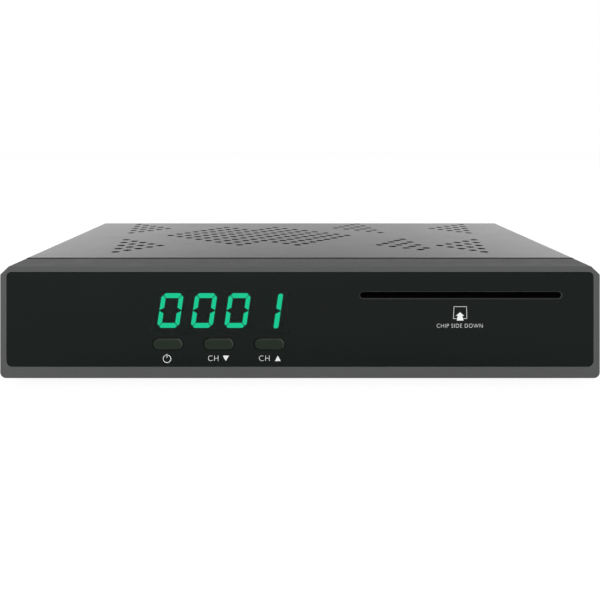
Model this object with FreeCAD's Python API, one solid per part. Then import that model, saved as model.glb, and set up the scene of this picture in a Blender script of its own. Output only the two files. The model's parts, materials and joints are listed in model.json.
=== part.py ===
"""A compact satellite television receiver: a moulded front with a smoked plate, three keys, a
four-digit display and a card slot, in a two-piece sheet steel case with its boards and sockets.

Millimetres. X runs along the front, +Z is up and the front faces -Y. The origin is on the floor,
under the middle of the whole object. Depths are counted backwards from the bezel's front face.
"""
import FreeCAD, Part
import math
import os

V = FreeCAD.Vector

# ---- Case -----------------------------------------------------------------------------------
BEZEL_WIDTH = 168.2
BEZEL_HEIGHT = 31.4
BEZEL_DEPTH = 12.5
BODY_DEPTH = 98.0           # from the bezel's front face to the cover's back
FOOT_HEIGHT = 3.2
BEZEL_DROP = 0.6            # the bezel reaches this far below the tray
BEZEL_WALL = 1.7
BEZEL_FLOOR = 1.5           # the wall behind the plate
BEZEL_CHAMFER_WIDTH = 2.45
BEZEL_CHAMFER_DROP = 2.35
BEZEL_CHAMFER_SOFTENING = 0.6
BEZEL_FOOT_RADIUS = 1.7
BEZEL_FRONT_RADIUS = 0.2
RIM_SIDE = 1.8              # bezel left showing round the plate
RIM_TOP = 1.58
RIM_BOTTOM = 3.2
SHEET = 0.8                 # steel sheet of the cover and the tray
SHEET_GAP = 0.1             # between sheet pieces that lie on each other
COVER_INSET = 1.45          # the cover's sides stand back this far from the bezel's
COVER_BEND = 1.2
COVER_SEAM = 1.6            # the groove between the bezel and the cover
COVER_LIP = 5.6             # how far the cover's rear lip comes down
LIP_SIDE_RELIEF = 3.0
TONGUE = 3.0                # the bezel's tongue under the cover
TONGUE_WALL = 1.2
TONGUE_GAP = 0.15
TONGUE_FLOOR_GAP = 0.3      # above the tray's floor
TRAY_SEAM = 0.2             # between the bezel and the tray
FLANGE = 12.0               # height of the tray's side and front flanges
FLANGE_RELIEF = 3.0         # the corners of the tray's flanges stand clear of each other
REAR_WALL_TOP_GAP = 0.2

# ---- Vents in the cover ------------------------------------------------------------------------
VENT_RADIUS = 1.3
VENT_PITCH = 6.5            # between neighbours of one row; rows are half of this apart
CENTRE_VENT_X = -15.1
CENTRE_VENT_DEPTH = 61.8
CENTRE_VENT_HALF = 3.5      # each of its two diamonds reaches this many pitches out
CENTRE_VENT_SPLIT = 1.5     # and lies this many pitches from their middle
CENTRE_VENT_LEAN = -0.2     # X per depth
WEDGE_VENT_COLUMNS = 5      # a wedge's columns hold 5, 4, 3, 2 and 1 holes
FRONT_WEDGE_SIDE = 22.95    # from the cover's side to the longest column of a wedge
FRONT_WEDGE_GAP = 10.6      # from the cover's front edge to the first hole of that column
REAR_WEDGE_SIDE = 17.45
REAR_WEDGE_GAP = 3.5        # from the cover's back to the last hole of that column
SIDE_WEDGE_LEAN = 0.12
INNER_FRONT_WEDGE_SIDE = 43.05
INNER_FRONT_WEDGE_GAP = 11.9
INNER_REAR_WEDGE_SIDE = 55.45
INNER_REAR_WEDGE_GAP = 2.0
INNER_WEDGE_LEAN = -0.25

# ---- Front plate, keys and display -------------------------------------------------------------
PLATE_THICKNESS = 1.5
FILM_THICKNESS = 0.15
PLATE_RADIUS = 1.2            # at its upper corners
PLATE_FOOT_RADIUS = 1.6
PLATE_GAP = 0.1             # round the plate in its recess
FILM_MARGIN = 0.4
KEY_WIDTH = 8.4
KEY_HEIGHT = 3.25
KEY_GAP = 0.15              # round a key in the plate
KEY_PROUD = 0.5
KEY_EDGE = 0.45
KEY_RISE = 9.62              # above the bezel's lower edge
KEY_FLANGE = 0.5            # how far a key's stop flange reaches out
KEY_FLANGE_THICKNESS = 0.8
KEY_STOP_GAP = 0.1
KEY_TRAVEL = 0.3
STEM_RADIUS = 1.5
STEM_LENGTH = 0.3
KEYS = {"power": -37.1, "channel_down": -22.8, "channel_up": -8.6}
PLUNGER_RADIUS = 1.2
PLUNGER_OUT = 1.2           # what shows of a switch's plunger
PLUNGER_IN = 0.5            # what stays in its bore at rest
PLUNGER_GAP = 0.08
SWITCH_SIZE = 4.5
SWITCH_BORE_SPARE = 0.6     # left behind the plunger when its key is pressed
SLOT_SHIFT = 3.0            # from the middle of the bezel's right half to the slot's middle
SLOT_RISE = 23.28
SLOT_WIDTH = 56.5
SLOT_HEIGHT = 1.77
SLOT_BEVEL = 0.22
SLOT_EASE = 0.4             # the slot in the bezel is this much larger all round
DIGIT_X = -40.5             # lower left corner of the first digit
DIGIT_RISE = 13.65
DIGIT_HEIGHT = 9.8
DIGIT_WIDTH = 6.23
DIGIT_PITCH = 9.5
DIGIT_SLANT = 8.4           # degrees
BAR_WIDTH = 1.38
UPRIGHT_WIDTH = 1.25
DIGIT_CORNER = 1.0
LAST_DIGIT_CORNER = 0.4     # the last digit's uprights run on past its bars to blunt ends
LAST_DIGIT_SHIFT = -0.4     # sideways, from where the pitch puts it
LAST_DIGIT_DROP = 0.15
SEGMENT_GAP = 0.12
SEGMENT_DEPTH = 0.6
DISPLAY_MARGIN_X = 1.6
DISPLAY_MARGIN_Z = 1.3
DISPLAY_GAP = 0.2
LIT_SEGMENTS = ("abcdef", "abcdef", "abcdef", "bc")

# ---- Front board -------------------------------------------------------------------------------
BOARD_THICKNESS = 1.6
FRONT_BOARD_DEPTH = 9.3     # its front face
FRONT_BOARD_X0 = -50.0      # its left edge
FRONT_BOARD_READER_GAP = 2.3  # from its right edge to the card reader
FRONT_BOARD_Z0 = 6.4
FRONT_BOARD_Z1 = 30.0
POST_RADIUS = 2.5
POST_INSET = 3.0            # from the front board's edges
SENSOR_GAP = 6.2            # from the display's right side to the sensor's middle
SENSOR_RISE = 18.6
SENSOR_SIZE = 6.0
SENSOR_DOME = 2.2
SENSOR_BODY = 3.0
SENSOR_WINDOW = 3.2
SENSOR_DOME_SHARE = 0.6     # how much of the dome's radius stands in front of its neck

# ---- Screws --------------------------------------------------------------------------------------
SCREW_RADIUS = 1.45
SMALL_SCREW_RADIUS = 0.95
PILOT_GAP = 0.05
THROUGH_GAP = 0.2
HEAD_RATIO = 1.9            # head radius over shank radius
HEAD_HEIGHT = 1.7
RECESS_WIDTH = 0.45
HEAD_ROUNDING = 0.45        # share of the head's height
RECESS_LENGTH = 1.1         # share of the head's radius
RECESS_DEPTH = 0.6          # share of the head's height
SCREW_LENGTH = 6.0
SCREW_TIP_GAP = 1.0         # left under a screw in a blind hole
BOSS_RADIUS = 3.0
BOSS_SIDE = 10.0            # from the bezel's sides to the outer bosses
BOSS_BOARD_GAP = 5.5        # from the front board's right edge to the middle boss
BOSS_RISE = 7.1
SIDE_SCREW_DEPTHS = (34.0, 84.0)
SIDE_SCREW_RISE = 6.5       # above the tray's underside
REAR_SCREW_X = 66.0
REAR_SCREW_DROP = 3.0       # below the cover's top

# ---- Main board and what stands on it ------------------------------------------------------------
PILLAR_HEIGHT = 5.0
PILLAR_RADIUS = 3.0
BOARD_SIDE_GAP = 5.05       # from the tray's side flanges
BOARD_FRONT_GAP = 4.4       # from the tray's front flange
BOARD_REAR_GAP = 2.8        # from the tray's rear wall
BOARD_HOLE_INSET = 3.8
BOARD_SCREW_GAP = 5.0       # from the tuner or the power jack to the screw before it
FLOOR_SLOT_LENGTH = 20.0
FLOOR_SLOT_WIDTH = 4.4
FLOOR_SLOT_PITCH = 8.0
FLOOR_SLOT_COUNT = 5
FLOOR_SLOT_DEPTH = 55.0
FLOOR_SLOT_XS = (-38.0, 38.0)

TUNER_X = -56.0
TUNER_WIDTH = 26.0
TUNER_LENGTH = 38.0
TUNER_HEIGHT = 13.0
TUNER_GAP = 0.15            # from the rear wall
ANTENNA_RISE = 7.5          # above the main board
ANTENNA_RADIUS = 4.76
ANTENNA_ROOT = 0.25         # the barrel is this much thicker where its washer and nut sit
ANTENNA_REACH = 11.0        # behind the cover's back
ANTENNA_BORE = 3.6
ANTENNA_TIP_CHAMFER = 0.5
ANTENNA_CONTACT_RADIUS = 0.5
ANTENNA_CONTACT_DEPTH = 8.0
WASHER_RADIUS = 7.0
WASHER_THICKNESS = 0.5
NUT_FLATS = 12.7
NUT_THICKNESS = 2.2
THREAD_GAP = 0.05

PROCESSOR_X = -11.0
PROCESSOR_DEPTH = 52.0
PROCESSOR_SIZE = 23.0
PROCESSOR_HEIGHT = 1.8
HEATSINK_SIZE = 31.0
HEATSINK_BASE = 2.0
HEATSINK_HEIGHT = 9.5
HEATSINK_FINS = 9
HEATSINK_FIN = 1.1
MEMORY_READER_GAP = 4.4     # from the reader's left side to the middle of the chips beside it
MEMORY_DEPTHS = (34.0, 50.0)
LEFT_MEMORY_SPOT = (-36.0, 40.0)
MEMORY_SIZE = (10.2, 13.0, 1.2)
CRYSTAL_SPOT = (-37.0, 24.5)
CRYSTAL_SIZE = (11.0, 4.6, 3.6)
LEFT_CAPACITOR_SPOTS = ((-57.0, 29.0), (-47.5, 29.0))
RIGHT_CAPACITOR_SPOTS = ((29.85, 72.0), (19.85, 72.0), (10.85, 63.5))  # X from the tray's right side
CAPACITOR_RADIUS = 4.0
CAPACITOR_HEIGHT = 12.0
INDUCTOR_SPOTS = ((40.85, 70.0), (51.85, 70.0))  # X from the tray's right side
INDUCTOR_RADIUS = 4.2
INDUCTOR_HEIGHT = 5.5
INDUCTOR_BASE = 1.0
INDUCTOR_STEP = 0.4         # the drum stands back from its base

# ---- Card reader ---------------------------------------------------------------------------------
CARD_WIDTH = 54.4           # the channel; a card is 53.98 wide and 0.76 thick
CARD_CHANNEL = 1.4
READER_WALL = 3.0
READER_FLOOR = 2.4
READER_LENGTH = 56.0
READER_GAP = 0.3            # behind the bezel's front wall
READER_STOP = 3.0
READER_LID = 0.4
READER_MOUTH = 1.2          # lead-in at its mouth
READER_BOARD_THICKNESS = 1.2
READER_BOARD_FRONT = 18.0
SPACER_RADIUS = 2.5
SPACER_INSET = 4.0
SPACER_FRONT_DEPTH = 30.0
CONTACT_DEPTH = 34.0        # first row of contacts
CONTACT_ROW = 7.62
CONTACT_PITCH = 2.54
CONTACT_WIDTH = 1.2
CONTACT_LENGTH = 6.0
CONTACT_GAP = 0.2           # round each contact in the reader's floor
CONTACT_RISE = 0.35
CONTACT_TAIL = 2.2          # from a leaf's crest to its end
CONTACT_LEAF = 0.4          # thickness of the sprung leaf
CONTACT_SHIFT = -9.0        # the contacts' middle, from the channel's middle
HEADER_LENGTH = 20.0
HEADER_WIDTH = 2.5

# ---- Ribbon ----------------------------------------------------------------------------------------
RIBBON_X = -22.0
RIBBON_WIDTH = 12.0
RIBBON_THICKNESS = 0.8
RIBBON_BEND = 3.0
HEADER_BODY = 5.0
HEADER_DEEP = 3.4
HEADER_END = 1.0            # beside the ribbon
FRONT_HEADER_Z = 19.5
REAR_HEADER_DEPTH = 23.0

# ---- Sockets in the rear wall ----------------------------------------------------------------------
SOCKET_PROUD = 0.7          # behind the rear wall
CUTOUT_GAP = 0.3
AV_X = -15.0
AV_WIDTH = 47.0
AV_HEIGHT = 15.6
AV_LENGTH = 19.0
AV_WALL = 1.2
AV_RECESS = 8.0
AV_CORNER = 4.0
AV_EDGE = 1.0
AV_CORE_WIDTH = 40.0
AV_CORE_HEIGHT = 9.4
AV_SLOTS = 10
AV_SLOT_WIDTH = 1.0
AV_SLOT_HEIGHT = 2.8
AV_SLOT_PITCH = 3.81
AUDIO_X = 19.0
AUDIO_WIDTH = 10.6
AUDIO_HEIGHT = 12.0
AUDIO_LENGTH = 12.0
AUDIO_AXIS_RISE = 6.6
AUDIO_RING_RADIUS = 4.15
AUDIO_RING_WALL = 0.5
AUDIO_RING_REACH = 8.6      # behind the rear wall
AUDIO_COLLAR = 0.45         # the body's collar is this much wider than the ring
AUDIO_COLLAR_PROUD = 0.6
AUDIO_CORE_RADIUS = 2.9
AUDIO_BORE_RADIUS = 1.65
AUDIO_BORE_DEPTH = 8.0
VIDEO_X = 35.0
VIDEO_WIDTH = 15.0
VIDEO_HEIGHT = 5.9
VIDEO_LENGTH = 12.0
VIDEO_WALL = 0.4
VIDEO_CORNER = 1.9
VIDEO_TONGUE_WIDTH = 11.8
VIDEO_TONGUE_HEIGHT = 1.5
SERVICE_X = 51.0
SERVICE_WIDTH = 13.2
SERVICE_HEIGHT = 5.7
SERVICE_LENGTH = 14.0
SERVICE_WALL = 0.4
SERVICE_TONGUE_WIDTH = 11.0
SERVICE_TONGUE_HEIGHT = 1.9
SOCKET_BACK = 2.5           # solid back of the video and service sockets
TONGUE_RECESS = 0.8         # a socket's tongue stands back from its mouth
SHELL_FIT = 0.05
SHELL_EDGE = 0.4
JACK_X = 64.5
JACK_WIDTH = 8.8
JACK_HEIGHT = 10.8
JACK_LENGTH = 14.2
JACK_AXIS_RISE = 6.4
JACK_BORE_RADIUS = 3.1
JACK_BORE_DEPTH = 9.5
JACK_PIN_RADIUS = 1.0
JACK_PIN_RECESS = 0.8
SOCKET_EDGE = 0.4

FOOT_RADIUS = 6.0
FOOT_TAPER = 0.6
FOOT_EDGE = 0.5
FOOT_INSET_X = 17.0         # from the bezel's sides
FOOT_FRONT_DEPTH = 24.0
FOOT_REAR_DEPTH = 86.0

# ---- Modelling allowances ------------------------------------------------------------------------
PAST = 1.0                  # cutting tools run this far past what they cut
SINK = 0.1                  # joined shapes run this far into each other
NEAR = 0.005                # for finding an edge by its place

# ---- Levels and planes that follow from the sizes above --------------------------------------------
FRONT_Y = (KEY_PROUD - BODY_DEPTH - ANTENNA_REACH) / 2
BEZEL_Z = FOOT_HEIGHT - BEZEL_DROP
TOP_Z = BEZEL_Z + BEZEL_HEIGHT
BEZEL_HALF = BEZEL_WIDTH / 2
COVER_HALF = BEZEL_HALF - COVER_INSET
TRAY_HALF = COVER_HALF - SHEET - SHEET_GAP
COVER_FRONT = BEZEL_DEPTH + COVER_SEAM
TRAY_FRONT = BEZEL_DEPTH + TRAY_SEAM
TRAY_BACK = BODY_DEPTH - SHEET - SHEET_GAP
TRAY_TOP_Z = FOOT_HEIGHT + SHEET
FILM_BACK = PLATE_THICKNESS + FILM_THICKNESS
FRONT_WALL_BACK = FILM_BACK + BEZEL_FLOOR
PLATE_CENTRE_Z = BEZEL_Z + (RIM_BOTTOM + BEZEL_HEIGHT - RIM_TOP) / 2
RECESS_WIDTH_X = BEZEL_WIDTH - 2 * RIM_SIDE
RECESS_HEIGHT_Z = BEZEL_HEIGHT - RIM_TOP - RIM_BOTTOM
KEY_Z = BEZEL_Z + KEY_RISE
SLOT_Z = BEZEL_Z + SLOT_RISE
DIGIT_Z = BEZEL_Z + DIGIT_RISE
SENSOR_Z = BEZEL_Z + SENSOR_RISE
DIGIT_LEAN = math.tan(math.radians(DIGIT_SLANT))
DIGITS_LENGTH = DIGIT_PITCH * (len(LIT_SEGMENTS) - 1) + DIGIT_WIDTH + DIGIT_HEIGHT * DIGIT_LEAN
DISPLAY_X = DIGIT_X + DIGITS_LENGTH / 2
DISPLAY_Z = DIGIT_Z + DIGIT_HEIGHT / 2
DISPLAY_WIDTH = DIGITS_LENGTH + 2 * DISPLAY_MARGIN_X
DISPLAY_HEIGHT = DIGIT_HEIGHT + 2 * DISPLAY_MARGIN_Z
DISPLAY_FRONT = FILM_BACK + DISPLAY_GAP
SENSOR_X = DISPLAY_X + DISPLAY_WIDTH / 2 + SENSOR_GAP
MAIN_BOARD_Z = TRAY_TOP_Z + PILLAR_HEIGHT
MAIN_TOP_Z = MAIN_BOARD_Z + BOARD_THICKNESS
MAIN_HALF = TRAY_HALF - SHEET - BOARD_SIDE_GAP
MAIN_FRONT = TRAY_FRONT + SHEET + BOARD_FRONT_GAP
MAIN_BACK = TRAY_BACK - SHEET - BOARD_REAR_GAP
SOCKET_FACE = TRAY_BACK + SOCKET_PROUD
ANTENNA_Z = MAIN_TOP_Z + ANTENNA_RISE
ANTENNA_TIP = BODY_DEPTH + ANTENNA_REACH
AUDIO_Z = MAIN_TOP_Z + AUDIO_AXIS_RISE
JACK_Z = MAIN_TOP_Z + JACK_AXIS_RISE
BOSS_Z = BEZEL_Z + BOSS_RISE
SIDE_SCREW_Z = FOOT_HEIGHT + SIDE_SCREW_RISE
REAR_SCREW_Z = TOP_Z - REAR_SCREW_DROP
CHANNEL_FLOOR_Z = SLOT_Z - CARD_CHANNEL / 2
READER_BASE_Z = CHANNEL_FLOOR_Z - READER_FLOOR
READER_BOARD_Z = READER_BASE_Z - READER_BOARD_THICKNESS
READER_HALF = CARD_WIDTH / 2 + READER_WALL
READER_FRONT = FRONT_WALL_BACK + READER_GAP
READER_BACK = READER_FRONT + READER_LENGTH
SLOT_X = BEZEL_HALF / 2 + SLOT_SHIFT
READER_LEFT = SLOT_X - READER_HALF
READER_RIGHT = SLOT_X + READER_HALF
FRONT_BOARD_X1 = READER_LEFT - FRONT_BOARD_READER_GAP
BOSS_XS = (BOSS_SIDE - BEZEL_HALF, FRONT_BOARD_X1 + BOSS_BOARD_GAP, BEZEL_HALF - BOSS_SIDE)
MEMORY_SPOTS = [(READER_LEFT - MEMORY_READER_GAP, depth) for depth in MEMORY_DEPTHS]
MEMORY_SPOTS.append(LEFT_MEMORY_SPOT)


# ---- Shapes that many pieces use -------------------------------------------------------------------
def block(x0, x1, d0, d1, z0, z1):
    """A box between two X, two depths and two Z."""
    return Part.makeBox(x1 - x0, d1 - d0, z1 - z0, V(x0, FRONT_Y + d0, z0))


def rod_back(x, z, radius, d0, d1):
    """A round rod along Y from one depth to another."""
    return Part.makeCylinder(radius, d1 - d0, V(x, FRONT_Y + d0, z), V(0, 1, 0))


def rod_up(x, depth, radius, z0, z1):
    """A round rod along Z."""
    return Part.makeCylinder(radius, z1 - z0, V(x, FRONT_Y + depth, z0), V(0, 0, 1))


def rounded_wire(corners):
    """A closed wire through (point, radius) corners; each is rounded by a tangent arc."""
    starts = []
    arcs = []
    count = len(corners)
    for i, (point, radius) in enumerate(corners):
        to_last = (corners[i - 1][0] - point).normalize()
        to_next = (corners[(i + 1) % count][0] - point).normalize()
        half = to_last.getAngle(to_next) / 2
        inwards = (to_last + to_next).normalize()
        reach = radius / math.tan(half)
        middle = point + inwards * (radius / math.sin(half) - radius)
        starts.append((point + to_last * reach, point + to_next * reach))
        arcs.append(middle if radius else None)
    edges = []
    for i in range(count):
        if arcs[i]:
            edges.append(Part.Arc(starts[i][0], arcs[i], starts[i][1]).toShape())
        here, there = starts[i][1], starts[(i + 1) % count][0]
        if here.distanceToPoint(there) > 1e-6:
            edges.append(Part.LineSegment(here, there).toShape())
    return Part.Wire(edges)


def slab_back(corners, d0, d1):
    """A prism along Y whose outline has (x, z, radius) corners."""
    points = [(V(x, FRONT_Y + d0, z), radius) for x, z, radius in corners]
    return Part.Face(rounded_wire(points)).extrude(V(0, d1 - d0, 0))


def slab_up(corners, z0, z1):
    """A prism along Z whose outline has (x, depth, radius) corners."""
    points = [(V(x, FRONT_Y + depth, z0), radius) for x, depth, radius in corners]
    return Part.Face(rounded_wire(points)).extrude(V(0, 0, z1 - z0))


def slab_side(corners, x0, x1):
    """A prism along X whose outline has (depth, z, radius) corners."""
    points = [(V(x0, FRONT_Y + depth, z), radius) for depth, z, radius in corners]
    return Part.Face(rounded_wire(points)).extrude(V(x1 - x0, 0, 0))


def rectangle(u, v, width, height, radius=0.0):
    """The four corners of a rectangle about (u, v), for the prisms above."""
    half_u, half_v = width / 2, height / 2
    signs = ((-1, -1), (1, -1), (1, 1), (-1, 1))
    return [(u + su * half_u, v + sv * half_v, radius) for su, sv in signs]


def stadium(u, v, width, height):
    """The corners of a rectangle with full-round ends."""
    return rectangle(u, v, width, height, height / 2 - 1e-4)


def joined(shapes):
    """One solid from shapes that touch or overlap."""
    return shapes[0].multiFuse(shapes[1:]).removeSplitter()


def mirrored(shape):
    """The same shape on the other side of the middle."""
    return shape.mirror(V(0, 0, 0), V(1, 0, 0))


def edges_where(shape, test):
    """The edges whose middle and end points all pass a test."""
    def passes(edge):
        points = [edge.valueAt(edge.FirstParameter), edge.valueAt(edge.LastParameter)]
        points.append(edge.valueAt((edge.FirstParameter + edge.LastParameter) / 2))
        return all(test(point) for point in points)
    return [edge for edge in shape.Edges if passes(edge)]


def near(value, wanted):
    return abs(value - wanted) < NEAR


def screw(tip, direction, radius, length):
    """A pan-head screw with a cross recess; its head's underside is at the tip point."""
    head_radius = radius * HEAD_RATIO
    head = Part.makeCylinder(head_radius, HEAD_HEIGHT, V(0, 0, 0), V(0, 0, -1))
    rim = edges_where(head, lambda p: near(p.z, -HEAD_HEIGHT))
    head = head.makeFillet(HEAD_HEIGHT * HEAD_ROUNDING, rim)
    shank = Part.makeCylinder(radius, length)
    recess_long = head_radius * RECESS_LENGTH
    recess_deep = HEAD_HEIGHT * RECESS_DEPTH
    bar = Part.makeBox(recess_long, RECESS_WIDTH, recess_deep,
                       V(-recess_long / 2, -RECESS_WIDTH / 2, -HEAD_HEIGHT))
    cross_bar = bar.copy()
    cross_bar.rotate(V(0, 0, 0), V(0, 0, 1), 90)
    shape = joined([head, shank]).cut(bar).cut(cross_bar)
    shape.Placement = FreeCAD.Placement(tip, FreeCAD.Rotation(V(0, 0, 1), direction))
    return shape


# ---- Front bezel -------------------------------------------------------------------------------
def bezel_corners(inset):
    """The bezel's outline, seen from the front, moved inwards."""
    half = BEZEL_HALF - inset
    low = BEZEL_Z + inset
    high = TOP_Z - inset
    corner_x = half - BEZEL_CHAMFER_WIDTH
    corner_z = high - BEZEL_CHAMFER_DROP
    soft = BEZEL_CHAMFER_SOFTENING
    return [
        (-half, low, BEZEL_FOOT_RADIUS),
        (half, low, BEZEL_FOOT_RADIUS),
        (half, corner_z, soft),
        (corner_x, high, soft),
        (-corner_x, high, soft),
        (-half, corner_z, soft),
    ]


def recess_corners(inset):
    """The outline of the recess that the plate and its film lie in, moved inwards."""
    radii = (PLATE_FOOT_RADIUS, PLATE_FOOT_RADIUS, PLATE_RADIUS, PLATE_RADIUS)
    corners = rectangle(0.0, PLATE_CENTRE_Z, RECESS_WIDTH_X - 2 * inset, RECESS_HEIGHT_Z - 2 * inset)
    return [(x, z, radius + PLATE_GAP - inset) for (x, z, sharp), radius in zip(corners, radii)]


def tongue_corners(outer):
    """The outline of the tongue under the cover, on its outer or inner side."""
    inset = SHEET + TONGUE_GAP + (0.0 if outer else TONGUE_WALL)
    half = COVER_HALF - inset
    high = TOP_Z - inset
    low = TRAY_TOP_Z + TONGUE_FLOOR_GAP
    radius = COVER_BEND if outer else COVER_BEND / 2
    below = low - (0.0 if outer else PAST)
    return [(-half, below, 0.0), (half, below, 0.0), (half, high, radius), (-half, high, radius)]


def post_spots():
    """Where the front board's screws stand, as (x, z)."""
    xs = (FRONT_BOARD_X0 + POST_INSET, FRONT_BOARD_X1 - POST_INSET)
    zs = (FRONT_BOARD_Z0 + POST_INSET, FRONT_BOARD_Z1 - POST_INSET)
    return [(x, z) for x in xs for z in zs]


def front_openings(d0, d1, ease):
    """What passes through the plate, its film and the bezel: three keys and the card."""
    cuts = []
    for x in KEYS.values():
        hole = KEY_GAP + ease
        cuts.append(slab_back(stadium(x, KEY_Z, KEY_WIDTH + 2 * hole, KEY_HEIGHT + 2 * hole), d0, d1))
    slot = stadium(SLOT_X, SLOT_Z, SLOT_WIDTH + 2 * ease, SLOT_HEIGHT + 2 * ease)
    cuts.append(slab_back(slot, d0, d1))
    return cuts


def display_window(d0, d1, ease):
    return slab_back(
        rectangle(DISPLAY_X, DISPLAY_Z, DISPLAY_WIDTH + 2 * ease, DISPLAY_HEIGHT + 2 * ease), d0, d1)


def front_bezel():
    outside = slab_back(bezel_corners(0.0), 0.0, BEZEL_DEPTH)
    front_loop = edges_where(outside, lambda p: near(p.y, FRONT_Y))
    outside = outside.makeFillet(BEZEL_FRONT_RADIUS, front_loop)
    recess = slab_back(recess_corners(0.0), -PAST, FILM_BACK)
    cavity = slab_back(bezel_corners(BEZEL_WALL), FRONT_WALL_BACK, BEZEL_DEPTH + PAST)
    body = outside.cut(recess).cut(cavity)
    rim_start = BEZEL_DEPTH - TONGUE
    tongue_end = BEZEL_DEPTH + TONGUE
    tongue = slab_back(tongue_corners(True), rim_start, tongue_end)
    tongue = tongue.cut(slab_back(tongue_corners(False), rim_start - PAST, tongue_end + PAST))
    rim = slab_back(bezel_corners(BEZEL_WALL / 2), rim_start, BEZEL_DEPTH)
    rim = rim.cut(slab_back(tongue_corners(False), rim_start - PAST, BEZEL_DEPTH + PAST))
    rim_low = tongue_corners(True)[0][1]
    rim = rim.cut(block(-BEZEL_HALF, BEZEL_HALF, 0.0, tongue_end, 0.0, rim_low))
    pieces = [body, rim, tongue]
    for x in BOSS_XS:
        pieces.append(rod_back(x, BOSS_Z, BOSS_RADIUS, FILM_BACK + BEZEL_FLOOR / 2, TRAY_FRONT))
    for x, z in post_spots():
        pieces.append(rod_back(x, z, POST_RADIUS, FILM_BACK + BEZEL_FLOOR / 2, FRONT_BOARD_DEPTH))
    shape = joined(pieces)
    for x in BOSS_XS:
        pilot = SCREW_RADIUS + PILOT_GAP
        shape = shape.cut(rod_back(x, BOSS_Z, pilot, FRONT_WALL_BACK, TRAY_FRONT + PAST))
    for x, z in post_spots():
        pilot = SMALL_SCREW_RADIUS + PILOT_GAP
        shape = shape.cut(rod_back(x, z, pilot, FRONT_WALL_BACK, FRONT_BOARD_DEPTH + PAST))
    for cut in front_openings(0.0, FRONT_WALL_BACK + PAST / 2, SLOT_EASE):
        shape = shape.cut(cut)
    shape = shape.cut(display_window(0.0, FRONT_WALL_BACK + PAST / 2, DISPLAY_GAP))
    return shape.cut(rod_back(SENSOR_X, SENSOR_Z, SENSOR_WINDOW, 0.0, FRONT_WALL_BACK + PAST / 2))


# ---- Plate, film and keys ----------------------------------------------------------------------
def front_plate():
    shape = slab_back(recess_corners(PLATE_GAP), 0.0, PLATE_THICKNESS)
    for cut in front_openings(-PAST, PLATE_THICKNESS + PAST, 0.0):
        shape = shape.cut(cut)

    def on_slot_rim(point):
        beside = abs(point.x - SLOT_X) <= SLOT_WIDTH / 2 + NEAR
        return beside and near(point.y, FRONT_Y) and abs(point.z - SLOT_Z) <= SLOT_HEIGHT / 2 + NEAR
    return shape.makeChamfer(SLOT_BEVEL, edges_where(shape, on_slot_rim))


def plate_film():
    shape = slab_back(recess_corners(PLATE_GAP + FILM_MARGIN), PLATE_THICKNESS, FILM_BACK)
    for cut in front_openings(0.0, FILM_BACK + PAST, SLOT_EASE / 2):
        shape = shape.cut(cut)
    shape = shape.cut(display_window(0.0, FILM_BACK + PAST, -DISPLAY_MARGIN_X / 2))
    return shape.cut(rod_back(SENSOR_X, SENSOR_Z, SENSOR_SIZE / 2, 0.0, FILM_BACK + PAST))


def key_stop():
    """Depth of a key's stop flange, behind the bezel's front wall."""
    return FRONT_WALL_BACK + KEY_STOP_GAP


def key_back():
    """Depth of the end of a key's stem, where its plunger starts."""
    return key_stop() + KEY_FLANGE_THICKNESS + STEM_LENGTH


def key(x):
    head = slab_back(stadium(x, KEY_Z, KEY_WIDTH, KEY_HEIGHT), -KEY_PROUD, key_stop() + SINK)
    front_loop = edges_where(head, lambda p: near(p.y, FRONT_Y - KEY_PROUD))
    head = head.makeFillet(KEY_EDGE, front_loop)
    flange_size = 2 * (KEY_FLANGE + KEY_GAP + SLOT_EASE)
    flange = slab_back(stadium(x, KEY_Z, KEY_WIDTH + flange_size, KEY_HEIGHT + flange_size),
                       key_stop(), key_stop() + KEY_FLANGE_THICKNESS)
    stem = rod_back(x, KEY_Z, STEM_RADIUS, key_stop() + SINK, key_back())
    return joined([head, flange, stem])


def plunger(x):
    return rod_back(x, KEY_Z, PLUNGER_RADIUS, key_back(), switch_front() + PLUNGER_IN)


def switch_front():
    return key_back() + PLUNGER_OUT


def switch_body(x):
    half = SWITCH_SIZE / 2
    body = block(x - half, x + half, switch_front(), FRONT_BOARD_DEPTH, KEY_Z - half, KEY_Z + half)
    upright = edges_where(body, lambda p: near(abs(p.x - x), half) and near(abs(p.z - KEY_Z), half))
    body = body.makeChamfer(SOCKET_EDGE, upright)
    bore = PLUNGER_RADIUS + PLUNGER_GAP
    bore_end = switch_front() + PLUNGER_IN + KEY_TRAVEL + SWITCH_BORE_SPARE
    return body.cut(rod_back(x, KEY_Z, bore, switch_front() - SINK, bore_end))


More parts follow.
